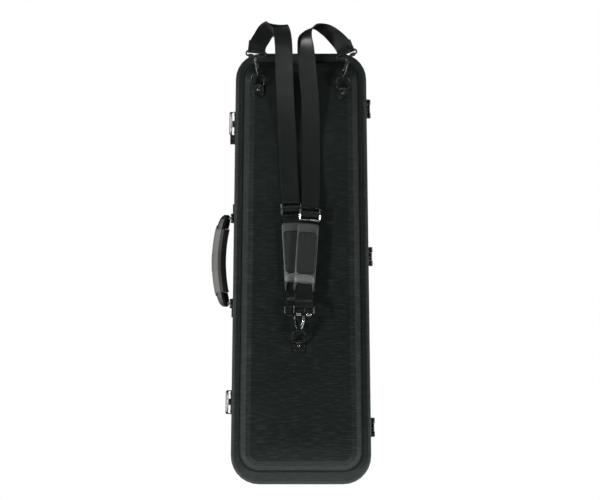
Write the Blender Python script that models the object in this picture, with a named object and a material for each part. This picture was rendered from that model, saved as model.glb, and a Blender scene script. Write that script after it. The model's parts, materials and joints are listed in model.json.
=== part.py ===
"""Oblong violin case standing on its lower end, with its back and carrying straps towards -Y.

The long axis is +Z. The latches and the handle are on the -X side, the hinges on the +X side,
and the lid opens towards +Y. The origin is the middle of the base shell's lower end face.
"""

import math

import bmesh
import bpy
from mathutils import Matrix, Vector

# Clearances
seat_gap = 0.0003
parting_gap = 0.0005
join_step = 0.0002

# Outline of the case, seen from the back
case_length = 0.790
bottom_half_width = 0.1297
top_half_width = 0.1189
bottom_corner_radius = 0.052
top_corner_radius = 0.048
least_corner_radius = 0.010

# Shells: depths are measured from the parting plane
shell_wall = 0.004
shell_edge_radius = 0.006
flange_depth = 0.058
flange_width = 0.0085
groove_width = 0.002
groove_sink = 0.0012
panel_bottom_lift = 0.008
panel_foot_depth = 0.064
panel_foot_run = 0.0025
panel_shoulder_depth = 0.0725
panel_shoulder_run = 0.0075
panel_shoulder_drop = 0.0010
panel_edge_depth = 0.0735
panel_edge_run = 0.009
panel_slope_run = 0.027
panel_flat_depth = 0.0750
panel_core_inset = 0.104

# The origin lies this far behind the parting plane
origin_depth = 0.0332

# Valances and seal on the parting line
valance_height = 0.0135
valance_thickness = 0.0072
seal_thickness = 0.0025
seal_base_depth = 0.009
seal_lip = 0.0015

# Padding inside the shells
padding_inset = valance_thickness + seal_thickness + 4 * seat_gap
padding_step_width = 0.009
cradle_top_depth = 0.008

# Pocket for the instrument
pocket_floor_depth = flange_depth - shell_wall - seat_gap
panel_pad_depth = pocket_floor_depth + seat_gap
lower_bout_centre = 0.162
lower_bout_half_width = 0.108
lower_bout_half_length = 0.102
waist_centre_side = 0.118
waist_centre = 0.262
waist_radius = 0.058
upper_bout_centre = 0.338
upper_bout_half_width = 0.088
upper_bout_half_length = 0.086
neck_half_width = 0.030
neck_start = 0.430
peg_box_half_width = 0.042
peg_box_start = 0.575
neck_end = 0.560
peg_box_end = 0.640
cradle_split_height = 0.440
scroll_half_length = 0.035

# Accessory compartments
compartment_inner_side = 0.052
compartment_side_inset = 0.0209
compartment_outer_side = top_half_width - compartment_side_inset
compartment_low = 0.450
compartment_high = 0.668
compartment_corner = 0.006
lid_ledge = 0.004
lid_board = 0.005
top_tray_half_width = 0.083
top_tray_low = 0.700
top_tray_high = 0.764

# Neck rest and neck strap
neck_rest_low = 0.470
neck_rest_high = 0.530
neck_rest_depth = 0.030
neck_rest_root = 0.002
neck_saddle_radius = 0.018
neck_strap_height = 0.500
neck_strap_width = 0.030
neck_strap_half_span = 0.043
neck_strap_arch = 0.010
neck_strap_lift = 0.0009
neck_strap_shares = ((-1, 0), (-0.75, 0), (-0.5, 0.6), (0, 1), (0.5, 0.6), (0.75, 0), (1, 0))

# Bow holders in the lid
bow_side = 0.045
spinner_height = 0.120
spinner_disc_radius = 0.009
spinner_disc_thickness = 0.004
spinner_post_radius = 0.0035
spinner_post_length = 0.018
spinner_wing_length = 0.040
spinner_wing_width = 0.013
spinner_wing_thickness = 0.005
bow_rest_height = 0.175
bow_rest_length = 0.020
bow_rest_half_width = 0.078
bow_rest_rise = 0.020
bow_groove_radius = 0.008
tip_pocket_low = 0.712
tip_pocket_high = 0.742
tip_pocket_half_width = 0.066
tip_pocket_rise = 0.015
tip_slot_width = 0.020
tip_slot_thickness = 0.009
tip_slot_cover = 0.003

# Hinges
hinge_heights = {"bottom": 0.103, "middle": 0.4177, "top": 0.6897}
hinge_length = 0.035
hinge_axis_out = 0.0045
hinge_knuckle_radius = 0.0035
hinge_knuckle_length = 0.010
hinge_lid_knuckle_radius = 0.0025
hinge_leaf_start = 0.0042
hinge_leaf_end = 0.022
hinge_leaf_thickness = 0.0018
hinge_leaf_corner = 0.003
hinge_neck_end = 0.0012
hinge_pin_radius = 0.0011

# Latches
latch_heights = {"lower": 0.1497, "upper": 0.662}
latch_half_length = 0.022
latch_ear_thickness = 0.0015
latch_plate_thickness = 0.0015
latch_plate_low = -0.040
latch_plate_high = -0.003
latch_plate_corner = 0.003
latch_pivot_out = 0.0075
latch_pivot_y = -0.012
latch_ear_half_width = 0.006
latch_ear_top = 0.0096
latch_stub_radius = 0.0012
latch_stub_length = 0.0026
latch_lever_end = -0.042
latch_lever_front = -0.008
latch_lever_low = 0.0057
latch_lever_high = 0.0107
latch_lever_web = 0.0015
latch_flange_thickness = 0.0014
latch_notch_end = -0.0245
latch_bail_y = -0.022
latch_bail_radius = 0.0012
latch_bail_half_width = 0.0155
latch_bail_reach = 0.010
latch_bail_corner = 0.003
keeper_low = 0.003
keeper_high = 0.024
keeper_half_length = 0.014
keeper_hook_half_length = 0.006
keeper_hook_low = 0.006
keeper_hook_high = 0.009
lock_body_length = 0.016
lock_body_rise = 0.009
lock_body_low = -0.034
lock_body_high = -0.006

# Handle
handle_height = 0.4097
handle_y = -0.030
handle_pivot_out = 0.0034
handle_half_length = 0.0845
handle_reach = 0.0273
handle_drop = 0.0153
handle_rest_swing_share = 30.0
handle_sleeve_half = 0.058
handle_sleeve_thickness = 0.0105
handle_sleeve_width = 0.0130
handle_cap_thickness = 0.0085
handle_cap_width = 0.0110
handle_cap_shares = ((0.0, 1.0), (0.35, 1.0), (0.7, 0.9), (0.9, 0.66), (1.0, 0.36))
handle_lug_low = 0.0755
handle_lug_high = 0.0810
handle_lug_radius = 0.0026
handle_pin_radius = 0.0013
handle_plate_low = 0.069
handle_plate_high = 0.104
handle_plate_half_width = 0.0125
handle_plate_thickness = 0.0020
handle_plate_corner = 0.005
handle_knuckle_length = 0.0057
handle_notch_half_width = 0.0045

# Ring brackets on the back
bracket_sides = {"left": -0.0783, "right": 0.0760}
bracket_top_heights = {"left": 0.731, "right": 0.7255}
bracket_centre_side = -0.004
bracket_centre_height = 0.2625
bracket_half_width = 0.0105
bracket_top = 0.0055
bracket_bottom = 0.0235
bracket_thickness = 0.002
bracket_corner = 0.0090
bracket_knuckle_out = 0.0048
bracket_knuckle_radius = 0.0034
bracket_knuckle_half = 0.006
ring_half_width = 0.0115
ring_height = 0.0225
ring_wire = 0.0015
ring_top_corner = 0.0085
ring_foot_corner = 0.004
ring_tilt_share = 20.0

# Straps
strap_width = 0.032
strap_thickness = 0.0016
strap_tab = 0.020
strap_lead = 0.005
strap_tuck = 0.004
strap_end_gap = 0.0006
loop_half_width = 0.0182
loop_wire = 0.0016
top_loop_rise = 0.0080
bottom_loop_rise = 0.0165
loop_corner = 0.003
hook_wire = 0.0016
hook_radius = 0.0062
hook_collar_radius = 0.0034
hook_collar_length = 0.007
hook_turn_share = 335.0
weave_shares = ((1.3, -1), (0.66, -1), (0.2, 1), (-0.2, 1), (-0.66, -1), (-1.05, -1))
most_mitre_share = 0.6
hook_spread = 0.0034
hook_shank_radius = 0.0026
hook_shank_share = 0.85
hook_sides = {"left": 0.0, "right": -0.0040}
slider_half_width = 0.0193
slider_half_height = 0.0128
slider_thickness = 0.003
slider_bar = 0.0036
slider_corner = 0.004
pad_half_width = 0.0193
pad_length = 0.120
pad_thickness = 0.007
pad_crown = 0.0018
pad_corner = 0.012
pad_shoulder = 0.006

# Where the straps run: the left one lies on the back and the right one over it
top_loop_places = {"left": (-0.0817, -0.0850, 0.7880), "right": (0.0840, -0.0850, 0.7870)}
top_loop_tilt_shares = {"left": -6.0, "right": 22.0}
bottom_loop_places = {"left": (-0.0106, -0.0840, 0.3200), "right": (0.0055, -0.0945, 0.3205)}
bottom_loop_tilt_shares = {"left": 0.0, "right": -3.0}
slider_places = {"left": (-0.0175, -0.0800, 0.5055), "right": (0.0165, -0.0855, 0.4955)}
slider_tilt_shares = {"left": 2.0, "right": -3.0}
pad_places = {"left": (-0.0130, -0.0794, 0.4150), "right": (0.0092, -0.0872, 0.4125)}
pad_tilt_shares = {"left": 3.0, "right": -4.0}
upper_strap_places = {
    "left": ((-0.0785, -0.0880, 0.8050), (-0.0715, -0.0870, 0.8170), (-0.0630, -0.0865, 0.8300),
             (-0.0535, -0.0880, 0.8405), (-0.0465, -0.0960, 0.8450), (-0.0400, -0.1045, 0.8405),
             (-0.0350, -0.1080, 0.8270), (-0.0320, -0.1080, 0.8060), (-0.0312, -0.1040, 0.7850),
             (-0.0300, -0.0935, 0.7430), (-0.0280, -0.0840, 0.7000), (-0.0255, -0.0785, 0.6500),
             (-0.0215, -0.0778, 0.5600)),
    "right": ((0.0770, -0.0880, 0.8020), (0.0640, -0.0890, 0.8170), (0.0428, -0.0920, 0.8330),
              (0.0250, -0.0960, 0.8375), (0.0140, -0.0990, 0.8300), (0.0080, -0.1020, 0.8180),
              (0.0085, -0.1020, 0.8000), (0.0120, -0.0950, 0.7600), (0.0165, -0.0860, 0.7050),
              (0.0180, -0.0800, 0.6500), (0.0178, -0.0792, 0.5700)),
}
upper_strap_across_shares = {
    "left": ((0.86, 0.0, -0.52), (0.84, 0.0, -0.55), (0.84, 0.02, -0.53), (0.90, 0.12, -0.40),
             (0.95, 0.30, -0.08), (0.98, 0.20, 0.0), (1.0, 0.06, 0.0), (1.0, 0.0, 0.03),
             (1.0, 0.0, 0.05), (1.0, 0.0, 0.06), (1.0, 0.0, 0.06), (1.0, 0.0, 0.05),
             (1.0, 0.0, 0.04)),
    "right": ((0.80, -0.20, 0.56), (0.60, -0.45, 0.66), (0.31, -0.78, 0.55), (0.10, -0.94, 0.20),
              (0.30, -0.94, -0.10), (0.75, -0.64, -0.10), (0.95, -0.30, -0.08), (1.0, 0.0, -0.06),
              (1.0, 0.0, -0.05), (1.0, 0.0, 0.0), (1.0, 0.0, 0.0)),
}

# Counts
corner_steps = 7
wire_sides = 8
rod_sides = 14


def material(name, colour, roughness, metallic):
    """Makes a Principled material."""
    made = bpy.data.materials.new(name)
    made.use_nodes = True
    shader = made.node_tree.nodes["Principled BSDF"]
    shader.inputs["Base Color"].default_value = (*colour, 1.0)
    shader.inputs["Roughness"].default_value = roughness
    shader.inputs["Metallic"].default_value = metallic
    made.diffuse_color = (*colour, 1.0)
    return made


# Shapes: a piece is a list of points and a list of faces

def arc(centre_a, centre_b, radius_a, radius_b, start, end, steps):
    """Points along an arc, in two dimensions, with angles in degrees."""
    points = []
    for step in range(steps + 1):
        angle = math.radians(start + (end - start) * step / steps)
        points.append((centre_a + radius_a * math.cos(angle), centre_b + radius_b * math.sin(angle)))
    return points


def rounded(corners, radii, steps):
    """A flat outline with each corner rounded to its radius."""
    outline = []
    for index, corner in enumerate(corners):
        here = Vector(corner)
        before = (Vector(corners[index - 1]) - here).normalized()
        after = (Vector(corners[(index + 1) % len(corners)]) - here).normalized()
        half_angle = before.angle(after) / 2
        centre = here + (before + after).normalized() * radii[index] / math.sin(half_angle)
        start = here + before * radii[index] / math.tan(half_angle) - centre
        end = here + after * radii[index] / math.tan(half_angle) - centre
        turn = start.angle(end)
        for step in range(steps + 1):
            share = step / steps
            spoke = start * math.sin((1 - share) * turn) + end * math.sin(share * turn)
            outline.append(tuple(centre + spoke / math.sin(turn)))
    return outline


def rectangle(low_a, high_a, low_b, high_b, radius=0.0, steps=3):
    """A rectangle, with round corners where a radius is given."""
    corners = [(low_a, low_b), (high_a, low_b), (high_a, high_b), (low_a, high_b)]
    return rounded(corners, [radius] * 4, steps) if radius else corners


def stack(loops, ring=False):
    """Joins loops of equal length into a skin, closed on itself or with both ends filled."""
    count = len(loops[0])
    points = [Vector(point) for loop in loops for point in loop]
    faces = []
    for row in range(len(loops) if ring else len(loops) - 1):
        low = row * count
        high = (row + 1) % len(loops) * count
        for index in range(count):
            after = (index + 1) % count
            faces.append((low + index, low + after, high + after, high + index))
    if not ring:
        faces.append(tuple(reversed(range(count))))
        faces.append(tuple(range(len(points) - count, len(points))))
    return points, faces


def prism(outline, low, high):
    """A flat outline in a and b, raised from low to high along c."""
    return stack([[(a, b, level) for a, b in outline] for level in (low, high)])


def block(low_a, high_a, low_b, high_b, low_c, high_c, radius=0.0):
    """A plate or block between the given limits."""
    return prism(rectangle(low_a, high_a, low_b, high_b, radius), low_c, high_c)


def tube(path, radii, sides=wire_sides, ring=False, across=(1.0, 0.0, 0.0)):
    """A round wire along a path, with one radius or one for each point."""
    points = [Vector(point) for point in path]
    if not isinstance(radii, (list, tuple)):
        radii = [radii] * len(points)
    last = len(points) - 1
    loops = []
    side = Vector(across)
    for index, point in enumerate(points):
        before = points[index - 1] if ring or index else point
        after = points[(index + 1) % len(points)] if ring or index < last else point
        along = (after - before).normalized()
        side = (side - along * side.dot(along)).normalized()
        other = along.cross(side)
        leg = (after - point) if after != point else (point - before)
        stretch = 1 / max(abs(along.dot(leg.normalized())), most_mitre_share)
        bend = leg - along * leg.dot(along)
        bend = bend.normalized() if bend.length > 0 else bend
        loop = []
        for step in range(sides):
            angle = 2 * math.pi * step / sides
            spoke = (side * math.cos(angle) + other * math.sin(angle)) * radii[index]
            loop.append(point + spoke + bend * spoke.dot(bend) * (stretch - 1))
        loops.append(loop)
    return stack(loops, ring)


def rod(centre_a, centre_c, low_b, high_b, radius, sides=rod_sides):
    """A round rod along b."""
    circle = arc(centre_a, centre_c, radius, radius, 0, 360, sides)[:-1]
    return stack([[(a, level, c) for a, c in circle] for level in (low_b, high_b)])


def slope_at(values, knots, index):
    """The slope of a smooth curve through values at one of them."""
    if index in (0, len(values) - 1):
        first = max(index - 1, 0)
        return (values[first + 1] - values[first]) / (knots[first + 1] - knots[first])
    before = knots[index] - knots[index - 1]
    after = knots[index + 1] - knots[index]
    rise = (values[index] - values[index - 1]) * after / before
    return (rise + (values[index + 1] - values[index]) * before / after) / (before + after)


def smooth(values, knots, steps):
    """Points on a smooth curve through all values, with a number of steps between two."""
    curve = []
    for index in range(len(values) - 1):
        span = knots[index + 1] - knots[index]
        leave = slope_at(values, knots, index) * span
        arrive = slope_at(values, knots, index + 1) * span
        for step in range(steps):
            share = step / steps
            ease = share * share * (3 - 2 * share)
            point = values[index] * (1 - ease) + values[index + 1] * ease
            point += leave * share * (1 - share) ** 2 - arrive * share ** 2 * (1 - share)
            curve.append(point)
    return curve + [values[-1]]


def ribbon(stations, width, thickness, steps=1):
    """A flat strap through stations, each a place and the way its width runs."""
    places = [Vector(place) for place, across in stations]
    knots = [0.0]
    for before, after in zip(places, places[1:]):
        knots.append(knots[-1] + (after - before).length)
    path = smooth(places, knots, steps)
    sides = smooth([Vector(across) for place, across in stations], knots, steps)
    edge = thickness / 2
    section = ((-width / 2, 0), (-width / 2 + edge, edge), (width / 2 - edge, edge),
               (width / 2, 0), (width / 2 - edge, -edge), (-width / 2 + edge, -edge))
    loops = []
    for index, point in enumerate(path):
        before = path[max(index - 1, 0)]
        after = path[min(index + 1, len(path) - 1)]
        along = (after - before).normalized()
        side = (sides[index] - along * sides[index].dot(along)).normalized()
        face = along.cross(side)
        loops.append([point + side * a + face * b for a, b in section])
    return stack(loops)


def placed(piece, matrix):
    """The piece moved into the frame of the matrix."""
    points, faces = piece
    return [matrix @ point for point in points], faces


# Objects

def mesh_of(name, pieces, pivot):
    """One mesh from pieces that don't meet, with every body facing out."""
    built = bmesh.new()
    for points, faces in pieces:
        corners = [built.verts.new(point - pivot) for point in points]
        for face in faces:
            built.faces.new([corners[index] for index in face])
    bmesh.ops.recalc_face_normals(built, faces=built.faces)
    mesh = bpy.data.meshes.new(name)
    built.to_mesh(mesh)
    built.free()
    mesh.shade_smooth()
    mesh.set_sharp_from_angle(angle=math.radians(35))
    return mesh


def node(name, finish, pieces, pivot=(0, 0, 0)):
    """A named object made of pieces, with its origin on the pivot."""
    origin = Vector(pivot)
    part = bpy.data.objects.new(name, mesh_of(name, pieces, origin))
    part.location = origin
    part.data.materials.append(finish)
    bpy.context.collection.objects.link(part)
    return part


def combine(part, pieces, operation):
    """Joins pieces onto a part, or cuts them from it."""
    name = part.name + "_" + operation.lower()
    tool = bpy.data.objects.new(name, mesh_of(name, pieces, part.location))
    tool.location = part.location
    tool.hide_render = True
    tool.display_type = "WIRE"
    bpy.context.collection.objects.link(tool)
    step = part.modifiers.new(operation.capitalize(), "BOOLEAN")
    step.operation = operation
    step.solver = "EXACT"
    step.object = tool


# Frames that hardware is placed in: a and b lie on the surface and c points away from it

def half_width_at(height):
    """Half the width of the case at a height."""
    return bottom_half_width + (top_half_width - bottom_half_width) * height / case_length


def side_frame(side, height):
    """On a side wall: a points to the lid, b up the wall and c outwards."""
    taper = (bottom_half_width - top_half_width) / case_length
    sign = -1 if side == "left" else 1
    along = Vector((-sign * taper, 0, 1)).normalized()
    out = Vector((sign, 0, taper)).normalized()
    toward_lid = Vector((0, 1, 0))
    frame = Matrix((toward_lid, along, out)).transposed().to_4x4()
    frame.translation = Vector((sign * half_width_at(height), 0, height))
    return frame


def back_frame(across, height, slope):
    """On the back: a points along the back to +X, b up and c outwards."""
    side = Vector((math.cos(slope), math.sin(slope), 0))
    out = Vector((math.sin(slope), -math.cos(slope), 0))
    frame = Matrix((side, Vector((0, 0, 1)), out)).transposed().to_4x4()
    inset = half_width_at(height) - abs(across)
    run = min(max((inset - panel_slope_start) / panel_slope_run, 0), 1)
    depth = panel_edge_depth + (panel_flat_depth - panel_edge_depth) * run
    frame.translation = Vector((across, -depth, height))
    return frame


# Outline of the case and the shells that follow it

flange_end = shell_edge_radius + flange_width
panel_start = flange_end + groove_width
panel_foot = panel_start + panel_foot_run
panel_shoulder = panel_foot + panel_shoulder_run
panel_slope_start = panel_shoulder + panel_edge_run
panel_slope_end = panel_slope_start + panel_slope_run


def outline_at(inset, depth, lift=0.0):
    """The case outline, drawn in by an inset, at a depth along Y."""
    low = inset + lift
    high = case_length - inset
    bottom = half_width_at(low) - inset
    top = half_width_at(high) - inset
    corners = [(-bottom, low), (bottom, low), (top, high), (-top, high)]
    bottom_radius = max(bottom_corner_radius - inset, least_corner_radius)
    top_radius = max(top_corner_radius - inset, least_corner_radius)
    radii = [bottom_radius, bottom_radius, top_radius, top_radius]
    return [(x, depth, z) for x, z in rounded(corners, radii, corner_steps)]


def shell_piece(sign):
    """One shell: from the middle of the panel out to the rim, then back inside."""
    rim = valance_height + parting_gap + seat_gap
    inside = flange_depth - shell_wall
    floor = panel_edge_depth - shell_wall
    edge = arc(shell_edge_radius, flange_depth - shell_edge_radius,
               shell_edge_radius, shell_edge_radius, 90, 180, 3)
    rows = [(panel_core_inset, panel_flat_depth, panel_bottom_lift),
            (panel_slope_end, panel_flat_depth, panel_bottom_lift),
            (panel_slope_start, panel_edge_depth, panel_bottom_lift),
            (panel_shoulder, panel_shoulder_depth - panel_shoulder_drop, panel_bottom_lift),
            (panel_foot, panel_foot_depth, panel_bottom_lift),
            (panel_start, flange_depth, panel_bottom_lift),
            (flange_end + groove_width / 2, flange_depth - groove_sink, panel_bottom_lift),
            (flange_end, flange_depth, panel_bottom_lift)]
    rows += [(inset, depth, 0.0) for inset, depth in edge]
    rows += [(0.0, rim, 0.0),
             (shell_wall, rim, 0.0),
             (shell_wall, inside - shell_wall, 0.0),
             (shell_edge_radius + shell_wall, inside, 0.0),
             (panel_foot + shell_wall, inside, panel_bottom_lift),
             (panel_shoulder + shell_wall, floor, panel_bottom_lift),
             (panel_core_inset, floor, panel_bottom_lift)]
    return stack([outline_at(inset, sign * depth, lift) for inset, depth, lift in rows])


def band_piece(inner_inset, outer_inset, low, high):
    """A band that runs round the case between two insets and two depths."""
    loops = [outline_at(outer_inset, low), outline_at(outer_inset, high),
             outline_at(inner_inset, high), outline_at(inner_inset, low)]
    return stack(loops, ring=True)


def panel_pad(sign):
    """Padding that fills the raised panel of a shell, level with the shell's inner side."""
    face = panel_edge_depth - shell_wall - seat_gap
    shoulder = panel_shoulder + shell_wall + padding_step_width
    rows = ((panel_core_inset, panel_pad_depth), (panel_foot + shell_wall, panel_pad_depth),
            (shoulder, face), (panel_core_inset, face))
    return stack([outline_at(inset, sign * depth, panel_bottom_lift) for inset, depth in rows])


# Finishes

def finishes():
    """Every material of the case."""
    black = (0.020, 0.022, 0.022)
    return {
        "shell": material("shell_black", (0.024, 0.029, 0.028), 0.42, 0.0),
        "valance": material("valance_black", black, 0.35, 0.0),
        "seal": material("seal_rubber", (0.015, 0.015, 0.015), 0.75, 0.0),
        "plush": material("plush_grey", (0.085, 0.090, 0.095), 0.95, 0.0),
        "lining": material("lining_grey", (0.110, 0.115, 0.120), 0.95, 0.0),
        "webbing": material("webbing_black", (0.018, 0.020, 0.020), 0.85, 0.0),
        "pad": material("pad_grey", (0.045, 0.048, 0.048), 0.55, 0.0),
        "steel": material("latch_chrome", (0.62, 0.63, 0.64), 0.22, 1.0),
        "dark_metal": material("dark_metal", (0.10, 0.11, 0.11), 0.35, 1.0),
        "plastic": material("black_plastic", black, 0.50, 0.0),
        "grip": material("grip_grey", (0.060, 0.060, 0.058), 0.60, 0.0),
        "leather": material("handle_leather", (0.012, 0.013, 0.013), 0.50, 0.0),
    }


# Body of the case

def build_shells(finish):
    """Both shells with their valances, and the seal on the base."""
    node("base_shell", finish["shell"], [shell_piece(-1)])
    node("lid_shell", finish["shell"], [shell_piece(1)])
    far = parting_gap + valance_height
    node("base_valance", finish["valance"], [band_piece(valance_thickness, seat_gap, -far, -parting_gap)])
    node("lid_valance", finish["valance"], [band_piece(valance_thickness, seat_gap, parting_gap, far)])
    inner = valance_thickness + seat_gap
    seal = band_piece(inner + seal_thickness, inner, -seal_base_depth, seal_lip)
    node("rim_seal", finish["seal"], [seal])


def pocket_outline():
    """Outline of the pocket for the instrument: bouts, waist, neck and scroll."""
    right = arc(0.0, lower_bout_centre, lower_bout_half_width, lower_bout_half_length, -90, 36, 12)
    right += arc(waist_centre_side, waist_centre, waist_radius, waist_radius, 222, 140, 6)
    right += arc(0.0, upper_bout_centre, upper_bout_half_width, upper_bout_half_length, -27, 68, 9)
    right += [(neck_half_width, neck_start), (neck_half_width, neck_end),
              (peg_box_half_width, peg_box_start)]
    right += arc(0.0, peg_box_end, peg_box_half_width, scroll_half_length, 0, 90, 5)
    left = [(-x, z) for x, z in reversed(right[1:-1])]
    return right + left


def upright(outline, near, far):
    """An outline in X and Z, raised along Y."""
    return stack([[(x, depth, z) for x, z in outline] for depth in (near, far)])


def compartment_outline(side, margin):
    """Outline of a side compartment, let out by a margin."""
    sign = -1 if side == "left" else 1
    ends = sorted((sign * (compartment_inner_side - margin), sign * (compartment_outer_side + margin)))
    return rectangle(ends[0], ends[1], compartment_low - margin, compartment_high + margin,
                     compartment_corner)


def neck_saddle():
    """The saddle that carries the neck, across the neck's part of the pocket."""
    edge = neck_half_width + neck_rest_root
    top = -neck_rest_depth
    floor = join_step - pocket_floor_depth
    saddle = arc(0.0, top, neck_saddle_radius, neck_saddle_radius, 0, -180, 8)
    outline = [(-edge, floor), (edge, floor), (edge, top)] + saddle + [(-edge, top)]
    return stack([[(x, y, z) for x, y in outline] for z in (neck_rest_low, neck_rest_high)])


def build_cradle(finish):
    """The padding in the base: a floor, a surround for the body and a block for the neck."""
    node("cradle_floor", finish["plush"], [panel_pad(-1)])
    build_surround("cradle_surround", 0.0, cradle_split_height, finish)
    upper_block = build_surround("neck_and_accessory_block", cradle_split_height + seat_gap,
                                 case_length, finish)
    combine(upper_block, [neck_saddle()], "UNION")
    ledge = -cradle_top_depth - lid_board - 2 * seat_gap
    combine(upper_block, [upright(compartment_outline(side, lid_ledge), ledge, shell_wall)
                         for side in ("left", "right")], "DIFFERENCE")


def build_surround(name, low, high, finish):
    """The padding round the pocket and the compartments, between two heights."""
    rows = (-cradle_top_depth, -pocket_floor_depth)
    body = stack([outline_at(padding_inset, depth) for depth in rows])
    part = node(name, finish["plush"], [body])
    far = -2 * pocket_floor_depth
    tray = rectangle(-top_tray_half_width, top_tray_half_width, top_tray_low, top_tray_high,
                     compartment_corner)
    wells = [upright(pocket_outline(), far, shell_wall), upright(tray, far, shell_wall)]
    wells += [upright(compartment_outline(side, 0.0), far, shell_wall) for side in ("left", "right")]
    combine(part, wells, "DIFFERENCE")
    ends = [(-case_length, low), (high, 2 * case_length)]
    spare = [upright(rectangle(-case_length, case_length, start, end), far, shell_wall)
             for start, end in ends]
    combine(part, spare, "DIFFERENCE")
    return part


def build_lining(finish):
    """The padded lining of the lid."""
    node("lid_lining", finish["lining"], [panel_pad(1)])


def build_compartment_lid(side, finish):
    """A padded board over a compartment, hinged on its outer edge, with a pull tab."""
    sign = -1 if side == "left" else 1
    top = -cradle_top_depth - seat_gap
    board = upright(compartment_outline(side, lid_ledge - seat_gap), top - lid_board, top)
    pivot = (sign * (compartment_outer_side + lid_ledge - seat_gap), top, 0.0)
    node("compartment_lid_" + side, finish["plush"], [board], pivot)


def build_neck_strap(finish):
    """The strap that goes over the neck of the instrument."""
    lie = -cradle_top_depth + neck_strap_lift + strap_thickness / 2
    stations = [((across * neck_strap_half_span, lie + rise * neck_strap_arch, neck_strap_height),
                 (0, 0, 1)) for across, rise in neck_strap_shares]
    node("neck_strap", finish["webbing"], [ribbon(stations, neck_strap_width, strap_thickness, 2)])


def build_bow_holders(finish):
    """Turning spinners, a grooved rest and a tip pocket for two bows in the lid."""
    seat = panel_pad_depth - seat_gap
    for side, sign in (("left", -1), ("right", 1)):
        x = sign * bow_side
        disc_end = seat - spinner_disc_thickness
        post_end = disc_end - spinner_post_length
        path = [(x, seat, spinner_height), (x, disc_end, spinner_height),
                (x, disc_end, spinner_height), (x, post_end, spinner_height)]
        path[2] = (x, disc_end - seat_gap, spinner_height)
        radii = [spinner_disc_radius, spinner_disc_radius, spinner_post_radius, spinner_post_radius]
        post = tube(path, radii, rod_sides)
        spinner = node("bow_spinner_" + side, finish["plastic"], [post], (x, seat, spinner_height))
        half = spinner_wing_length / 2
        wing = rectangle(x - half, x + half, spinner_height - spinner_wing_width / 2,
                         spinner_height + spinner_wing_width / 2, spinner_wing_width / 2 - seat_gap, 4)
        near = post_end - spinner_wing_thickness + seat_gap
        combine(spinner, [upright(wing, near, post_end + seat_gap)], "UNION")
    low = seat - bow_rest_rise
    right = arc(bow_side, low, bow_groove_radius, bow_groove_radius, 180, 0, 6)
    left = arc(-bow_side, low, bow_groove_radius, bow_groove_radius, 180, 0, 6)
    outline = [(-bow_rest_half_width, low)] + left + right
    outline += [(bow_rest_half_width, low), (bow_rest_half_width, seat), (-bow_rest_half_width, seat)]
    ends = (bow_rest_height - bow_rest_length / 2, bow_rest_height + bow_rest_length / 2)
    node("bow_rest", finish["plush"], [stack([[(x, y, z) for x, y in outline] for z in ends])])
    face = seat - tip_pocket_rise
    body = rectangle(-tip_pocket_half_width, tip_pocket_half_width, tip_pocket_low, tip_pocket_high,
                     compartment_corner)
    pocket = node("bow_tip_pocket", finish["lining"], [upright(body, face, seat)])
    slots = []
    for sign in (-1, 1):
        slot = rectangle(sign * bow_side - tip_slot_width / 2, sign * bow_side + tip_slot_width / 2,
                         tip_pocket_low - tip_slot_cover, tip_pocket_high - 2 * tip_slot_cover)
        slots.append(upright(slot, face + tip_slot_cover, face + tip_slot_cover + tip_slot_thickness))
    combine(pocket, slots, "DIFFERENCE")


# Hardware on the sides

def build_hinge(place, height, finish):
    """A hinge: two knuckles on the base leaf, one on the lid leaf."""
    frame = side_frame("right", height)
    half = hinge_length / 2
    inner = half - hinge_knuckle_length
    low = seat_gap
    high = low + hinge_leaf_thickness
    step = join_step
    hole = placed(rod(0.0, hinge_axis_out, -half - shell_wall, half + shell_wall,
                      hinge_pin_radius + seat_gap), frame)
    reach = hinge_leaf_start + hinge_leaf_corner
    for owner, sign in (("base", -1), ("lid", 1)):
        on_base = owner == "base"
        ends = sorted((sign * hinge_leaf_start, sign * hinge_leaf_end))
        leaf = block(ends[0], ends[1], -half, half, low, high, hinge_leaf_corner)
        part = node("hinge_" + owner + "_leaf_" + place, finish["dark_metal"], [placed(leaf, frame)])
        middle = inner - seat_gap
        spans = ((step - half, -inner), (inner, half - step)) if on_base else ((-middle, middle),)
        radius = hinge_knuckle_radius if on_base else hinge_lid_knuckle_radius
        root = sorted((sign * hinge_neck_end, sign * reach)) if on_base else (-hinge_neck_end, reach)
        necks = [block(root[0], root[1], start + step, end - step, low + step, high - step)
                 for start, end in spans]
        combine(part, [placed(neck, frame) for neck in necks], "UNION")
        if not on_base:
            web = block(step - hinge_neck_end, hinge_neck_end - step, 2 * step - middle,
                        middle - 2 * step, low + 2 * step, hinge_axis_out)
            combine(part, [placed(web, frame)], "UNION")
        knuckles = [rod(0.0, hinge_axis_out, start, end, radius) for start, end in spans]
        combine(part, [placed(knuckle, frame) for knuckle in knuckles], "UNION")
        combine(part, [hole], "DIFFERENCE")
    pin = rod(0.0, hinge_axis_out, -half - seat_gap, half + seat_gap, hinge_pin_radius)
    node("hinge_pin_" + place, finish["steel"], [placed(pin, frame)])


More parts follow.
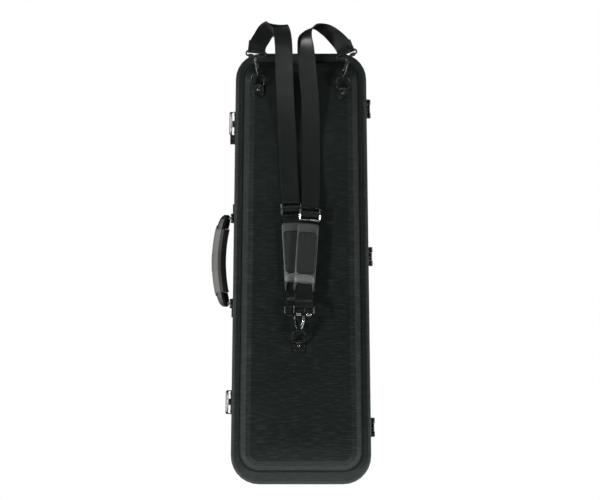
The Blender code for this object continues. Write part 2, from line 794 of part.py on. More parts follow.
def build_latch(place, height, finish):
    """A draw latch: a lever and wire bail on the base, and a keeper on the lid."""
    frame = side_frame("left", height)
    low = seat_gap
    high = low + latch_plate_thickness
    half = latch_half_length
    plate = block(latch_plate_low, latch_plate_high, -half, half, low, high, latch_plate_corner)
    base = node("latch_base_" + place, finish["steel"], [placed(plate, frame)])
    ear_in = half - latch_ear_thickness
    ears = []
    stubs = []
    for sign in (-1, 1):
        span = sorted((sign * ear_in, sign * (half - join_step)))
        ears.append(placed(block(latch_pivot_y - latch_ear_half_width, latch_pivot_y + latch_ear_half_width,
                                 span[0], span[1], low + join_step, latch_ear_top), frame))
        reach = sorted((sign * (ear_in - latch_stub_length), sign * (half - 2 * join_step)))
        stub = rod(latch_pivot_y, latch_pivot_out, reach[0], reach[1], latch_stub_radius)
        stubs.append(placed(stub, frame))
    combine(base, ears, "UNION")
    combine(base, stubs, "UNION")
    if place == "upper":
        end = -half - lock_body_length
        body = block(lock_body_low, lock_body_high, end, seat_gap - half, low + join_step, lock_body_rise)
        combine(base, [placed(body, frame)], "UNION")
    pivot = frame @ Vector((latch_pivot_y, 0.0, latch_pivot_out))
    wide = ear_in - seat_gap
    inner = wide - latch_flange_thickness
    web = latch_lever_high - latch_lever_web
    channel = [(-wide, latch_lever_low), (-inner, latch_lever_low), (-inner, web), (inner, web),
               (inner, latch_lever_low), (wide, latch_lever_low), (wide, latch_lever_high),
               (-wide, latch_lever_high)]
    lever_body = stack([[(y, b, c) for b, c in channel] for y in (latch_lever_end, latch_lever_front)])
    lever = node("latch_lever_" + place, finish["steel"], [placed(lever_body, frame)], pivot)
    strip = latch_bail_half_width + 2 * latch_bail_radius
    notch = block(latch_notch_end, 0.0, -strip, strip, latch_lever_low, latch_lever_high + shell_wall)
    holes = [rod(y, latch_pivot_out, -half, half, latch_stub_radius + seat_gap)
             for y in (latch_pivot_y, latch_bail_y)]
    combine(lever, [placed(notch, frame)], "DIFFERENCE")
    combine(lever, [placed(hole, frame) for hole in holes], "DIFFERENCE")
    side = latch_bail_half_width
    corner = latch_bail_corner
    path = [(latch_bail_y, -wide, latch_pivot_out), (latch_bail_y, -side, latch_pivot_out)]
    path += [(y, b, latch_pivot_out) for y, b in
             arc(latch_bail_reach - corner, corner - side, corner, corner, -90, 0, 3)]
    path += [(y, b, latch_pivot_out) for y, b in
             arc(latch_bail_reach - corner, side - corner, corner, corner, 0, 90, 3)]
    path += [(latch_bail_y, side, latch_pivot_out), (latch_bail_y, wide, latch_pivot_out)]
    bail = tube(path, latch_bail_radius, wire_sides, across=(0.0, 0.0, 1.0))
    bail_pivot = frame @ Vector((latch_bail_y, 0.0, latch_pivot_out))
    node("latch_bail_" + place, finish["steel"], [placed(bail, frame)], bail_pivot)
    keeper_plate = block(keeper_low, keeper_high, -keeper_half_length, keeper_half_length, low, high,
                         latch_plate_corner - latch_plate_thickness)
    keeper = node("latch_keeper_" + place, finish["steel"], [placed(keeper_plate, frame)])
    top = latch_pivot_out - latch_bail_radius - seat_gap
    hook = block(keeper_hook_low, keeper_hook_high, -keeper_hook_half_length, keeper_hook_half_length,
                 low + join_step, top)
    combine(keeper, [placed(hook, frame)], "UNION")


def handle_frame():
    """On the left wall, at the handle's pivot and turned to its rest."""
    frame = side_frame("left", handle_height)
    turn = Matrix.Rotation(math.radians(handle_rest_swing_share), 4, "Y")
    return frame @ Matrix.Translation((handle_y, 0.0, handle_pivot_out)) @ turn


def grip_loop(b, thickness, width):
    """A rounded section of the grip, which stands off most at its middle."""
    reach = handle_reach - handle_drop * (b / handle_half_length) ** 2
    loop = []
    for step in range(rod_sides):
        angle = 2 * math.pi * step / rod_sides
        bulge = (abs(math.cos(angle)) ** 4 + abs(math.sin(angle)) ** 4) ** -0.25
        loop.append((width * bulge * math.cos(angle), b, reach + thickness * bulge * math.sin(angle)))
    return loop


def build_end_cap(place, sign, frame, finish):
    """An end cap of the handle, with the lug that turns on its bracket."""
    start = handle_sleeve_half + seat_gap
    loops = []
    for along, size in handle_cap_shares:
        b = sign * (start + (handle_half_length - start) * along)
        loops.append(grip_loop(b, handle_cap_thickness * size, handle_cap_width * size))
    pivot = frame @ Vector((0, 0, 0))
    cap = node("handle_end_cap_" + place, finish["leather"], [placed(stack(loops), frame)], pivot)
    ends = sorted((sign * handle_lug_low, sign * handle_lug_high))
    half = handle_lug_radius - join_step
    neck = block(-half, half, ends[0] + join_step, ends[1] - join_step, 0.0, handle_reach - handle_drop)
    combine(cap, [placed(neck, frame)], "UNION")
    combine(cap, [placed(rod(0.0, 0.0, ends[0], ends[1], handle_lug_radius), frame)], "UNION")
    hole = rod(0.0, 0.0, ends[0] - shell_wall, ends[1] + shell_wall, handle_pin_radius + seat_gap)
    combine(cap, [placed(hole, frame)], "DIFFERENCE")


def build_handle_bracket(place, sign, finish):
    """A bracket on the wall: a plate with two knuckles and the pin between them."""
    wall = side_frame("left", handle_height) @ Matrix.Translation((handle_y, 0.0, 0.0))
    ends = sorted((sign * handle_plate_low, sign * handle_plate_high))
    half = handle_plate_half_width
    plate = block(-half, half, ends[0], ends[1], seat_gap, seat_gap + handle_plate_thickness,
                  handle_plate_corner)
    bracket = node("handle_bracket_" + place, finish["dark_metal"], [placed(plate, wall)])
    notch = sorted((sign * (handle_lug_low - seat_gap), sign * (handle_lug_high + seat_gap)))
    side = handle_notch_half_width
    slot = block(-side, side, notch[0], notch[1], -shell_wall, shell_wall)
    combine(bracket, [placed(slot, wall)], "DIFFERENCE")
    length = handle_knuckle_length
    spans = ((notch[0] - length, notch[0] - join_step), (notch[1] + join_step, notch[1] + length))
    knuckles = [rod(0.0, handle_pivot_out, low, high, handle_lug_radius) for low, high in spans]
    combine(bracket, [placed(knuckle, wall) for knuckle in knuckles], "UNION")
    pin = rod(0.0, handle_pivot_out, spans[0][0] + join_step, spans[1][1] - join_step, handle_pin_radius)
    combine(bracket, [placed(pin, wall)], "UNION")


def build_handle(finish):
    """The grip with its sleeve, end caps and brackets."""
    frame = handle_frame()
    stations = [handle_sleeve_half * step / 6 for step in range(-6, 7)]
    loops = [grip_loop(b, handle_sleeve_thickness, handle_sleeve_width) for b in stations]
    sleeve_body = placed(stack(loops), frame)
    node("handle_sleeve", finish["grip"], [sleeve_body], frame @ Vector((0, 0, 0)))
    for place, sign in (("lower", -1), ("upper", 1)):
        build_end_cap(place, sign, frame, finish)
        build_handle_bracket(place, sign, finish)


# Rings on the back

def bracket_frames():
    """The frames of the ring brackets, by name."""
    slope = math.atan((panel_flat_depth - panel_edge_depth) / panel_slope_run)
    left = back_frame(bracket_sides["left"], bracket_top_heights["left"], -slope)
    right = back_frame(bracket_sides["right"], bracket_top_heights["right"], slope)
    centre = back_frame(bracket_centre_side, bracket_centre_height, 0.0)
    return {"top_left": left, "top_right": right, "centre": centre}


def ring_point(rise, across=0.0):
    """A point in the tilted plane of a ring, in the frame of its bracket."""
    tilt = math.radians(ring_tilt_share)
    return Vector((across, rise * math.cos(tilt), bracket_knuckle_out + rise * math.sin(tilt)))


def build_bracket(place, frame, finish):
    """A ring bracket and its ring."""
    top = seat_gap + bracket_thickness
    plate = block(-bracket_half_width, bracket_half_width, -bracket_bottom, bracket_top, seat_gap, top,
                  bracket_corner)
    bracket = node("ring_bracket_" + place, finish["dark_metal"], [placed(plate, frame)])
    half = bracket_knuckle_half
    root = bracket_knuckle_radius - join_step
    foot = block(join_step - half, half - join_step, -root, root, top - seat_gap, bracket_knuckle_out)
    ends = [(-half, 0.0, bracket_knuckle_out), (half, 0.0, bracket_knuckle_out)]
    knuckle = tube(ends, bracket_knuckle_radius, rod_sides, across=(0.0, 0.0, 1.0))
    ends = [(2 * a, b, c) for a, b, c in ends]
    hole = tube(ends, ring_wire + seat_gap, rod_sides, across=(0.0, 0.0, 1.0))
    combine(bracket, [placed(foot, frame)], "UNION")
    combine(bracket, [placed(knuckle, frame)], "UNION")
    combine(bracket, [placed(hole, frame)], "DIFFERENCE")
    corners = rectangle(-ring_half_width, ring_half_width, 0.0, ring_height)
    outline = rounded(corners, [ring_foot_corner] * 2 + [ring_top_corner] * 2, 3)
    path = [ring_point(rise, across) for across, rise in outline]
    ring = tube(path, ring_wire, wire_sides, ring=True, across=(0.0, 0.0, 1.0))
    node("ring_" + place, finish["dark_metal"], [placed(ring, frame)])


def build_brackets(finish):
    """The three brackets with their rings."""
    for place, frame in bracket_frames().items():
        build_bracket(place, frame, finish)


# Carrying straps

def strap_frame(centre, tilt_share):
    """A frame facing away from the case, turned in its plane by an angle in degrees."""
    turn = Matrix.Rotation(math.radians(-tilt_share), 4, "Y")
    frame = Matrix(((1, 0, 0), (0, 0, -1), (0, 1, 0))).to_4x4()
    return Matrix.Translation(centre) @ turn @ frame


def build_loop(name, frame, rise, finish):
    """A rectangular wire loop."""
    outline = rectangle(-loop_half_width, loop_half_width, -rise / 2, rise / 2, loop_corner)
    path = [(a, b, 0.0) for a, b in outline]
    wire = tube(path, loop_wire, wire_sides, ring=True, across=(0.0, 0.0, 1.0))
    node(name, finish["dark_metal"], [placed(wire, frame)])


def build_hook(name, ring_frame, across, loop_frame, rise, along_bar, finish):
    """A hook through a ring, with its swivel collar under a loop."""
    lift = hook_radius - hook_wire - ring_wire - seat_gap
    bar = ring_point(ring_height, across)
    centre = ring_frame @ bar + Vector((0, 0, lift))
    circle = arc(0.0, 0.0, hook_radius, hook_radius, 90, 90 - hook_turn_share, 11)
    path = [centre + Vector((0, -y, z)) for y, z in circle]
    seat = loop_frame @ Vector((along_bar, -rise / 2 - loop_wire - seat_gap, 0))
    down = loop_frame.to_3x3() @ Vector((0, -1, 0))
    shoulder = seat + down * (hook_collar_length + hook_wire)
    stem = [seat, seat + down * hook_collar_length, shoulder, shoulder.lerp(path[0], hook_shank_share)]
    radii = [hook_collar_radius, hook_collar_radius, hook_shank_radius, hook_shank_radius]
    radii += [hook_wire] * len(path)
    node(name, finish["dark_metal"], [tube(stem + path, radii, wire_sides)])


def wrap_stations(frame, rise, turn_share):
    """Stations of a strap end wrapped round the far bar of a loop, from its tab to its front."""
    radius = loop_wire + seat_gap + strap_thickness / 2
    across = frame.to_3x3() @ Vector((1, 0, 0))
    bar = rise / 2
    tab = frame @ Vector((0, bar + strap_tab, -radius + strap_thickness / 2))
    stations = [(tab, across)]
    for c, b in arc(0.0, 0.0, radius, radius, 180, 180 + turn_share, 4):
        stations.append((frame @ Vector((0, bar + b, c)), across))
    stations.append((frame @ Vector((0, bar + strap_lead, radius)), across))
    return stations


def slider_stations(frame):
    """Stations of a strap woven through a slider: under, over and under its bars."""
    clear = slider_thickness / 2 + seat_gap + strap_thickness / 2
    across = frame.to_3x3() @ Vector((1, 0, 0))
    return [(frame @ Vector((0, row * slider_half_height, side * clear)), across)
            for row, side in weave_shares]


def build_slider(name, frame, finish):
    """A flat slider with two slots."""
    half = slider_thickness / 2
    body = block(-slider_half_width, slider_half_width, -slider_half_height, slider_half_height,
                 -half, half, slider_corner)
    slider = node(name, finish["dark_metal"], [placed(body, frame)])
    reach = strap_width / 2 + seat_gap
    near = slider_bar / 2
    far = slider_half_height - slider_bar
    slots = [block(-reach, reach, low, high, -slider_thickness, slider_thickness)
             for low, high in ((-far, -near), (near, far))]
    combine(slider, [placed(slot, frame) for slot in slots], "DIFFERENCE")


def build_pad(name, frame, finish):
    """A shoulder pad with a crowned face."""
    rows = ((pad_shoulder, -pad_thickness / 2), (0.0, -pad_thickness / 4), (0.0, pad_thickness / 4),
            (pad_shoulder / 2, pad_thickness / 2 - pad_crown / 2), (pad_shoulder, pad_thickness / 2))
    loops = []
    for inset, level in rows:
        outline = rectangle(inset - pad_half_width, pad_half_width - inset, inset - pad_length / 2,
                            pad_length / 2 - inset, pad_corner - inset, 4)
        loops.append([(a, b, level) for a, b in outline])
    node(name, finish["pad"], [placed(stack(loops), frame)])


def build_strap(side, finish):
    """One carrying strap from its top hook to its bottom hook."""
    frames = bracket_frames()
    top_loop = strap_frame(top_loop_places[side], top_loop_tilt_shares[side])
    bottom_loop = strap_frame(bottom_loop_places[side], bottom_loop_tilt_shares[side])
    slider = strap_frame(slider_places[side], slider_tilt_shares[side])
    pad = strap_frame(pad_places[side], pad_tilt_shares[side])
    build_loop("top_loop_" + side, top_loop, top_loop_rise, finish)
    build_loop("bottom_loop_" + side, bottom_loop, bottom_loop_rise, finish)
    build_hook("top_hook_" + side, frames["top_" + side], 0.0, top_loop, top_loop_rise,
               hook_sides[side], finish)
    offset = hook_spread if side == "right" else -hook_spread
    build_hook("bottom_hook_" + side, frames["centre"], offset, bottom_loop, bottom_loop_rise, 0.0,
               finish)
    build_slider("slider_" + side, slider, finish)
    build_pad("shoulder_pad_" + side, pad, finish)
    stations = wrap_stations(top_loop, top_loop_rise, 180)
    stations += list(zip(upper_strap_places[side], upper_strap_across_shares[side]))
    stations += slider_stations(slider)
    across = pad.to_3x3() @ Vector((1, 0, 0))
    end = pad_length / 2 + strap_end_gap
    stations += [(pad @ Vector((0, end + strap_tuck, 0)), across), (pad @ Vector((0, end, 0)), across)]
    upper = ribbon(stations, strap_width, strap_thickness, 3)
    node("upper_strap_" + side, finish["webbing"], [upper])
    stations = wrap_stations(bottom_loop, bottom_loop_rise, 180)
    stations += [(pad @ Vector((0, -end - strap_tuck, 0)), across), (pad @ Vector((0, -end, 0)), across)]
    lower = ribbon(stations, strap_width, strap_thickness, 2)
    node("lower_strap_" + side, finish["webbing"], [lower])


def build_case():
    """The whole case."""
    for old in list(bpy.data.objects):
        bpy.data.objects.remove(old, do_unlink=True)
    finish = finishes()
    build_shells(finish)
    build_cradle(finish)
    build_lining(finish)
    for side in ("left", "right"):
        build_compartment_lid(side, finish)
        build_strap(side, finish)
    build_neck_strap(finish)
    build_bow_holders(finish)
    for place, height in hinge_heights.items():
        build_hinge(place, height, finish)
    for place, height in latch_heights.items():
        build_latch(place, height, finish)
    build_handle(finish)
    build_brackets(finish)
    for part in bpy.data.objects:
        part.location.y += origin_depth


build_case()
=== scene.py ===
"""The look of a violin case seen from its back: finishes, soft pieces, trim, camera and light."""

import json
import math

import bmesh
import bpy
from mathutils import Matrix, Vector


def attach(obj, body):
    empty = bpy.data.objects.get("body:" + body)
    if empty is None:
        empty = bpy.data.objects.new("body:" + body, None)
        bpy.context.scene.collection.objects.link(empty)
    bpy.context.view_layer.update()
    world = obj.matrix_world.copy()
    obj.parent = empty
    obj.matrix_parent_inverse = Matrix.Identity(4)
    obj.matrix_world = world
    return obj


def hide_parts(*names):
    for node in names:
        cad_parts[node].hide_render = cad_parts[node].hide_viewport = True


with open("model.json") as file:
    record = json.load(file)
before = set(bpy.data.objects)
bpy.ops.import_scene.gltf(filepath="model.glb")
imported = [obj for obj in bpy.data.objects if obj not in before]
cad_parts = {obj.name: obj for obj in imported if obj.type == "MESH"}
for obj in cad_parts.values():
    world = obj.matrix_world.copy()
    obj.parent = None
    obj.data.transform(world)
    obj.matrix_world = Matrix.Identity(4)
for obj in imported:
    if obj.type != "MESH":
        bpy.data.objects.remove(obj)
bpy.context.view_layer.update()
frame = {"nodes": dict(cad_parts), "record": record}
nodes = frame["nodes"]

# Sizes in metres, the handle's lean in degrees and the brackets' turns in radians
depth_shift = 0.0332
case_length = 0.790
bottom_half_width = 0.1297
top_half_width = 0.1189
seat_gap = 0.0003

strap_width = 0.032
strap_thickness = 0.0016
strap_tab = 0.020
strap_lead = 0.005
strap_tuck = 0.004
strap_end_gap = 0.0006
loop_wire = 0.0016
top_loop_rise = 0.0080
bottom_loop_rise = 0.0165
slider_half_width = 0.0193
slider_half_height = 0.0128
slider_thickness = 0.003
pad_half_width = 0.0193
pad_length = 0.120
pad_thickness = 0.007
pad_top_extra = 0.0048
pad_arch_top = 0.0402
insert_half_width = 0.0158
insert_ends = (-0.0235, 0.0475)
bottom_roller_radius = 0.0025
top_roller_radius = 0.0034
roller_ends = {"left": (-0.0140, -0.0050), "right": (0.0050, 0.0140)}

latch_heights = {"lower": 0.1497, "upper": 0.662}
hinge_heights = {"bottom": 0.103, "middle": 0.4177, "top": 0.6897}
fitting_plate = 0.0015
hinge_leaf_top = 0.0021
handle_height = 0.4097
handle_pivot = (-0.030, 0.0, 0.0034)
handle_lean = 30.0
grip_half_length = 0.0845
grip_reach = 0.0273
grip_bow = 0.0153

bracket_plate = 0.002
bracket_places = {
    "top_left": (-0.0783, -0.07383, 0.731),
    "top_right": (0.0760, -0.07396, 0.7255),
    "centre": (-0.0040, -0.07500, 0.2625),
}
bracket_turns = {"top_left": -0.0555, "top_right": 0.0555, "centre": 0.0}

# The picture's size in pixels, its scale, and where the case stands in it
picture_width = 600
picture_height = 500
metres_per_pixel = 0.001837
case_centre_column = 301
ground_row = 484

# Where the straps run, as in the solid model apart from the left one's fold, which lies lower here
top_loop_places = {"left": (-0.0817, -0.0850, 0.7880), "right": (0.0840, -0.0850, 0.7870)}
top_loop_tilts = {"left": -6.0, "right": 22.0}
bottom_loop_places = {"left": (-0.0106, -0.0840, 0.3200), "right": (0.0055, -0.0945, 0.3205)}
bottom_loop_tilts = {"left": 0.0, "right": -3.0}
slider_places = {"left": (-0.0175, -0.0800, 0.5055), "right": (0.0165, -0.0855, 0.4955)}
slider_tilts = {"left": 2.0, "right": -3.0}
pad_places = {"left": (-0.0130, -0.0794, 0.4150), "right": (0.0092, -0.0872, 0.4125)}
pad_tilts = {"left": 3.0, "right": -4.0}
upper_strap_places = {
    "left": ((-0.0785, -0.0880, 0.8050), (-0.0715, -0.0870, 0.8170), (-0.0630, -0.0865, 0.8300),
             (-0.0530, -0.0880, 0.8355), (-0.0450, -0.0960, 0.8402), (-0.0390, -0.1045, 0.8372),
             (-0.0350, -0.1080, 0.8270), (-0.0320, -0.1080, 0.8060), (-0.0312, -0.1040, 0.7850),
             (-0.0300, -0.0935, 0.7430), (-0.0280, -0.0840, 0.7000), (-0.0255, -0.0785, 0.6500),
             (-0.0215, -0.0778, 0.5600)),
    "right": ((0.0770, -0.0880, 0.8020), (0.0640, -0.0890, 0.8170), (0.0428, -0.0920, 0.8330),
              (0.0250, -0.0960, 0.8375), (0.0140, -0.0990, 0.8300), (0.0080, -0.1020, 0.8180),
              (0.0085, -0.1020, 0.8000), (0.0120, -0.0950, 0.7600), (0.0165, -0.0860, 0.7050),
              (0.0180, -0.0800, 0.6500), (0.0178, -0.0792, 0.5700)),
}
upper_strap_across = {
    "left": ((0.86, 0.0, -0.52), (0.84, 0.0, -0.55), (0.84, 0.02, -0.53), (0.90, 0.12, -0.40),
             (0.95, 0.30, -0.08), (0.98, 0.20, 0.0), (1.0, 0.06, 0.0), (1.0, 0.0, 0.03),
             (1.0, 0.0, 0.05), (1.0, 0.0, 0.06), (1.0, 0.0, 0.06), (1.0, 0.0, 0.05),
             (1.0, 0.0, 0.04)),
    "right": ((0.80, -0.20, 0.56), (0.60, -0.45, 0.66), (0.31, -0.78, 0.55), (0.10, -0.94, 0.20),
              (0.30, -0.94, -0.10), (0.75, -0.64, -0.10), (0.95, -0.30, -0.08), (1.0, 0.0, -0.06),
              (1.0, 0.0, -0.05), (1.0, 0.0, 0.0), (1.0, 0.0, 0.0)),
}


# Shader helpers

class Shader:
    """A Principled material with short calls for its procedural textures."""

    def __init__(self, name, colour, roughness, metallic=0.0, **inputs):
        self.material = bpy.data.materials.new(name)
        self.material.use_nodes = True
        self.tree = self.material.node_tree
        self.main = self.tree.nodes["Principled BSDF"]
        self.main.inputs["Base Color"].default_value = (*colour, 1.0)
        self.main.inputs["Roughness"].default_value = roughness
        self.main.inputs["Metallic"].default_value = metallic
        for key, value in inputs.items():
            self.main.inputs[key.replace("_", " ")].default_value = value

    def add(self, kind, **values):
        made = self.tree.nodes.new("ShaderNode" + kind)
        for key, value in values.items():
            setattr(made, key, value)
        return made

    def link(self, source, target):
        self.tree.links.new(source, target)

    def place(self, scale, source="Object"):
        """Object or UV coordinates times a scale for each axis."""
        coordinates = self.add("TexCoord")
        mapping = self.add("Mapping")
        mapping.inputs["Scale"].default_value = scale
        self.link(coordinates.outputs[source], mapping.inputs["Vector"])
        return mapping.outputs["Vector"]

    def noise(self, scale, detail=3.0, source="Object", roughness=0.5):
        made = self.add("TexNoise")
        made.inputs["Scale"].default_value = 1.0
        made.inputs["Detail"].default_value = detail
        made.inputs["Roughness"].default_value = roughness
        self.link(self.place(scale, source), made.inputs["Vector"])
        return made.outputs["Fac"]

    def cells(self, scale, source="Object"):
        made = self.add("TexVoronoi")
        made.inputs["Scale"].default_value = 1.0
        self.link(self.place(scale, source), made.inputs["Vector"])
        return made.outputs["Distance"]

    def math(self, operation, first, second=None):
        made = self.add("Math", operation=operation)
        for index, value in enumerate((first, second)):
            if value is None:
                continue
            if isinstance(value, (int, float)):
                made.inputs[index].default_value = value
            else:
                self.link(value, made.inputs[index])
        return made.outputs[0]

    def spread(self, value, low, high, new_low, new_high):
        """The value taken from one range to another and kept in it."""
        made = self.add("MapRange")
        self.link(value, made.inputs["Value"])
        sockets = ("From Min", "From Max", "To Min", "To Max")
        for socket, number in zip(sockets, (low, high, new_low, new_high)):
            made.inputs[socket].default_value = number
        return made.outputs["Result"]

    def axis(self, name, source="Object"):
        coordinates = self.add("TexCoord")
        split = self.add("SeparateXYZ")
        self.link(coordinates.outputs[source], split.inputs["Vector"])
        return split.outputs[name]

    def wave(self, name, pitch, source="Object"):
        """A sine along one axis with a pitch in metres, from 0 to 1."""
        turned = self.math("MULTIPLY", self.axis(name, source), 2 * math.pi / pitch)
        return self.spread(self.math("SINE", turned), -1.0, 1.0, 0.0, 1.0)

    def tint(self, factor, first, second):
        """Sets the base colour between two colours."""
        mix = self.add("Mix", data_type="RGBA")
        mix.inputs["A"].default_value = (*first, 1.0)
        mix.inputs["B"].default_value = (*second, 1.0)
        self.link(factor, mix.inputs["Factor"])
        self.link(mix.outputs["Result"], self.main.inputs["Base Color"])

    def rough(self, value):
        self.link(value, self.main.inputs["Roughness"])

    def bump(self, height, distance, strength=1.0, soften=0.0):
        made = self.add("Bump")
        made.inputs["Strength"].default_value = strength
        made.inputs["Distance"].default_value = distance
        self.link(height, made.inputs["Height"])
        if soften:
            edge = self.add("Bevel", samples=4)
            edge.inputs["Radius"].default_value = soften
            self.link(edge.outputs["Normal"], made.inputs["Normal"])
        self.link(made.outputs["Normal"], self.main.inputs["Normal"])
        return self


def shell_finish(name, parting):
    """Black moulded shell with fine short level streaks, painted lighter in a band along its rim as
    painted light.
    """
    made = Shader(name, (0.018, 0.022, 0.021), 0.42, Specular_IOR_Level=0.35)
    streaks = made.noise((48.0, 48.0, 330.0), 2.5, roughness=0.55)
    clouds = made.noise((9.0, 9.0, 14.0), 2.0)
    dashes = made.spread(streaks, 0.50, 0.72, 0.0, 1.0)
    away = made.math("ABSOLUTE", made.math("SUBTRACT", made.axis("Y"), parting))
    # Painted light: the colour is lighter in a band along the parting rim, standing in for the side
    # light it should catch.
    painted_rim_light = made.spread(away, 0.0585, 0.0660, 0.62, 0.0)
    marks = made.math("ADD", made.math("MULTIPLY", dashes, 0.46), made.math("MULTIPLY", clouds, 0.40))
    lightness = made.math("ADD", marks, painted_rim_light)
    made.tint(lightness, (0.0050, 0.0082, 0.0068), (0.0230, 0.0300, 0.0268))
    made.rough(made.spread(streaks, 0.3, 0.7, 0.30, 0.44))
    return made.bump(dashes, 0.00012, 0.45).material


def rim_finish():
    made = Shader("rim_finish", (0.012, 0.013, 0.013), 0.34)
    grain = made.noise((400.0, 400.0, 60.0))
    made.tint(grain, (0.009, 0.010, 0.010), (0.018, 0.020, 0.020))
    return made.bump(grain, 0.0001, 0.3, 0.0006).material


def seal_finish():
    made = Shader("seal_finish", (0.010, 0.010, 0.010), 0.72)
    grain = made.noise((700.0, 700.0, 700.0))
    made.rough(made.spread(grain, 0.3, 0.7, 0.62, 0.82))
    return made.bump(grain, 0.0001, 0.3).material


def plush_finish(name, dark, light, pile=2600.0):
    """Short cloth pile with soft shading marks."""
    made = Shader(name, light, 0.95,
                  Sheen_Weight=0.55, Sheen_Roughness=0.45, Specular_IOR_Level=0.15)
    fibres = made.noise((pile, pile, pile), 2.0)
    strokes = made.noise((26.0, 26.0, 18.0), 3.0)
    mixed = made.math("ADD", made.math("MULTIPLY", fibres, 0.45), made.math("MULTIPLY", strokes, 0.55))
    made.tint(made.spread(mixed, 0.32, 0.68, 0.0, 1.0), dark, light)
    return made.bump(fibres, 0.0004, 0.5).material


def webbing_finish(name, source, along, across):
    """Woven webbing: ribs across the strap and fine warp threads along it."""
    made = Shader(name, (0.008, 0.010, 0.009), 0.42, Specular_IOR_Level=0.6)
    ribs = made.wave(along, 0.0011, source)
    threads = made.wave(across, 0.0016, source)
    weave = made.math("ADD", made.math("MULTIPLY", ribs, 0.65), made.math("MULTIPLY", threads, 0.35))
    wear = made.noise((40.0, 40.0, 40.0), 3.0)
    made.tint(made.spread(wear, 0.3, 0.7, 0.0, 1.0),
              (0.0014, 0.0026, 0.0021), (0.0044, 0.0060, 0.0053))
    made.rough(made.spread(weave, 0.0, 1.0, 0.48, 0.36))
    return made.bump(weave, 0.00007, 0.40).material


def leather_finish(name, dark, light, roughness, grain=900.0):
    made = Shader(name, light, roughness)
    cells = made.cells((grain, grain, grain))
    clouds = made.noise((30.0, 30.0, 30.0), 3.0)
    made.tint(made.spread(clouds, 0.3, 0.7, 0.0, 1.0), dark, light)
    made.rough(made.spread(cells, 0.0, 0.8, roughness - 0.06, roughness + 0.08))
    return made.bump(cells, 0.00018, 0.5).material


def mesh_finish():
    """Open knitted cloth of the pads' inserts, in the pads' own coordinates."""
    made = Shader("mesh_finish", (0.016, 0.020, 0.019), 0.80, Sheen_Weight=0.1)
    holes = made.cells((620.0, 620.0, 620.0), "UV")
    made.tint(made.spread(holes, 0.15, 0.55, 0.0, 1.0),
              (0.0175, 0.0220, 0.0200), (0.0060, 0.0080, 0.0070))
    return made.bump(holes, 0.0003, -0.6).material


def metal_finish(name, dark, light, low, high, soften=0.0004):
    """Plated metal with faint wear and softened edges."""
    made = Shader(name, light, low, 1.0)
    marks = made.noise((160.0, 160.0, 160.0), 4.0)
    made.tint(made.spread(marks, 0.35, 0.65, 0.0, 1.0), dark, light)
    made.rough(made.spread(marks, 0.3, 0.7, low, high))
    fine = made.noise((1500.0, 1500.0, 1500.0))
    return made.bump(fine, 0.00004, 0.25, soften).material


def plastic_finish():
    made = Shader("plastic_finish", (0.014, 0.015, 0.015), 0.5)
    grain = made.noise((900.0, 900.0, 900.0))
    made.rough(made.spread(grain, 0.3, 0.7, 0.42, 0.58))
    return made.bump(grain, 0.0001, 0.4, 0.0005).material


def grip_finish(centre):
    """Grey moulded grip, with fine ribs round its middle, painted darker in their grooves as painted
    shade.
    """
    made = Shader("grip_finish", (0.055, 0.055, 0.053), 0.56)
    height = made.axis("Z")
    near = made.math("ABSOLUTE", made.math("SUBTRACT", height, centre))
    in_middle = made.spread(near, 0.017, 0.020, 1.0, 0.0)
    ribs = made.math("MULTIPLY", made.wave("Z", 0.0031), in_middle)
    grain = made.cells((1100.0, 1100.0, 1100.0))
    both = made.math("ADD", ribs, made.math("MULTIPLY", grain, 0.12))
    # Painted shade: the colour is darker where the ribs and the grain are dented.
    made.tint(made.spread(both, 0.0, 1.0, 0.0, 1.0), (0.112, 0.112, 0.106), (0.080, 0.080, 0.076))
    return made.bump(both, 0.0009, -0.8).material


def thread_finish():
    made = Shader("thread_finish", (0.035, 0.038, 0.038), 0.7)
    twist = made.noise((3000.0, 3000.0, 3000.0))
    made.tint(twist, (0.022, 0.024, 0.024), (0.052, 0.056, 0.056))
    return made.bump(twist, 0.0001, 0.5).material


def parting_in(name):
    """How far along a node's own Y the plane lies where the case opens."""
    return (nodes[name].matrix_world.inverted() @ Vector((0.0, depth_shift, 0.0))).y


finishes = {
    "shell": shell_finish("shell_finish", parting_in("base_shell")),
    "lid_shell": shell_finish("lid_shell_finish", parting_in("lid_shell")),
    "ridged": metal_finish("ridged_metal_finish", (0.040, 0.045, 0.043), (0.085, 0.092, 0.088),
                           0.32, 0.46),
    "valance": rim_finish(),
    "seal": seal_finish(),
    "plush": plush_finish("plush_finish", (0.050, 0.054, 0.058), (0.095, 0.101, 0.108)),
    "lining": plush_finish("lining_finish", (0.085, 0.089, 0.094), (0.150, 0.156, 0.163), 3200.0),
    "webbing": webbing_finish("flat_webbing_finish", "Object", "X", "Z"),
    "strap": webbing_finish("strap_finish", "UV", "Y", "X"),
    "pad": leather_finish("pad_finish", (0.036, 0.042, 0.039), (0.060, 0.067, 0.063), 0.44),
    # A lighter copy of the pad's leather: a painted highlight for the pad's roll.
    "pad_painted_highlight": leather_finish("pad_painted_highlight_finish", (0.120, 0.132, 0.126), (0.190, 0.205, 0.197),
                                0.36),
    "mesh": mesh_finish(),
    "latch_chrome": metal_finish("chrome_finish", (0.105, 0.105, 0.098), (0.180, 0.180, 0.172),
                                 0.24, 0.38),
    "dark_metal": metal_finish("dark_metal_finish", (0.030, 0.034, 0.033), (0.075, 0.080, 0.078),
                               0.22, 0.38),
    "bright_metal": metal_finish("bright_metal_finish", (0.55, 0.56, 0.56), (0.80, 0.81, 0.81),
                                 0.10, 0.24),
    "black_plastic": plastic_finish(),
    "grip": grip_finish(handle_height),
    "leather": leather_finish("leather_finish", (0.003, 0.004, 0.004), (0.007, 0.008, 0.008),
                              0.46, 1300.0),
    "thread": thread_finish(),
}

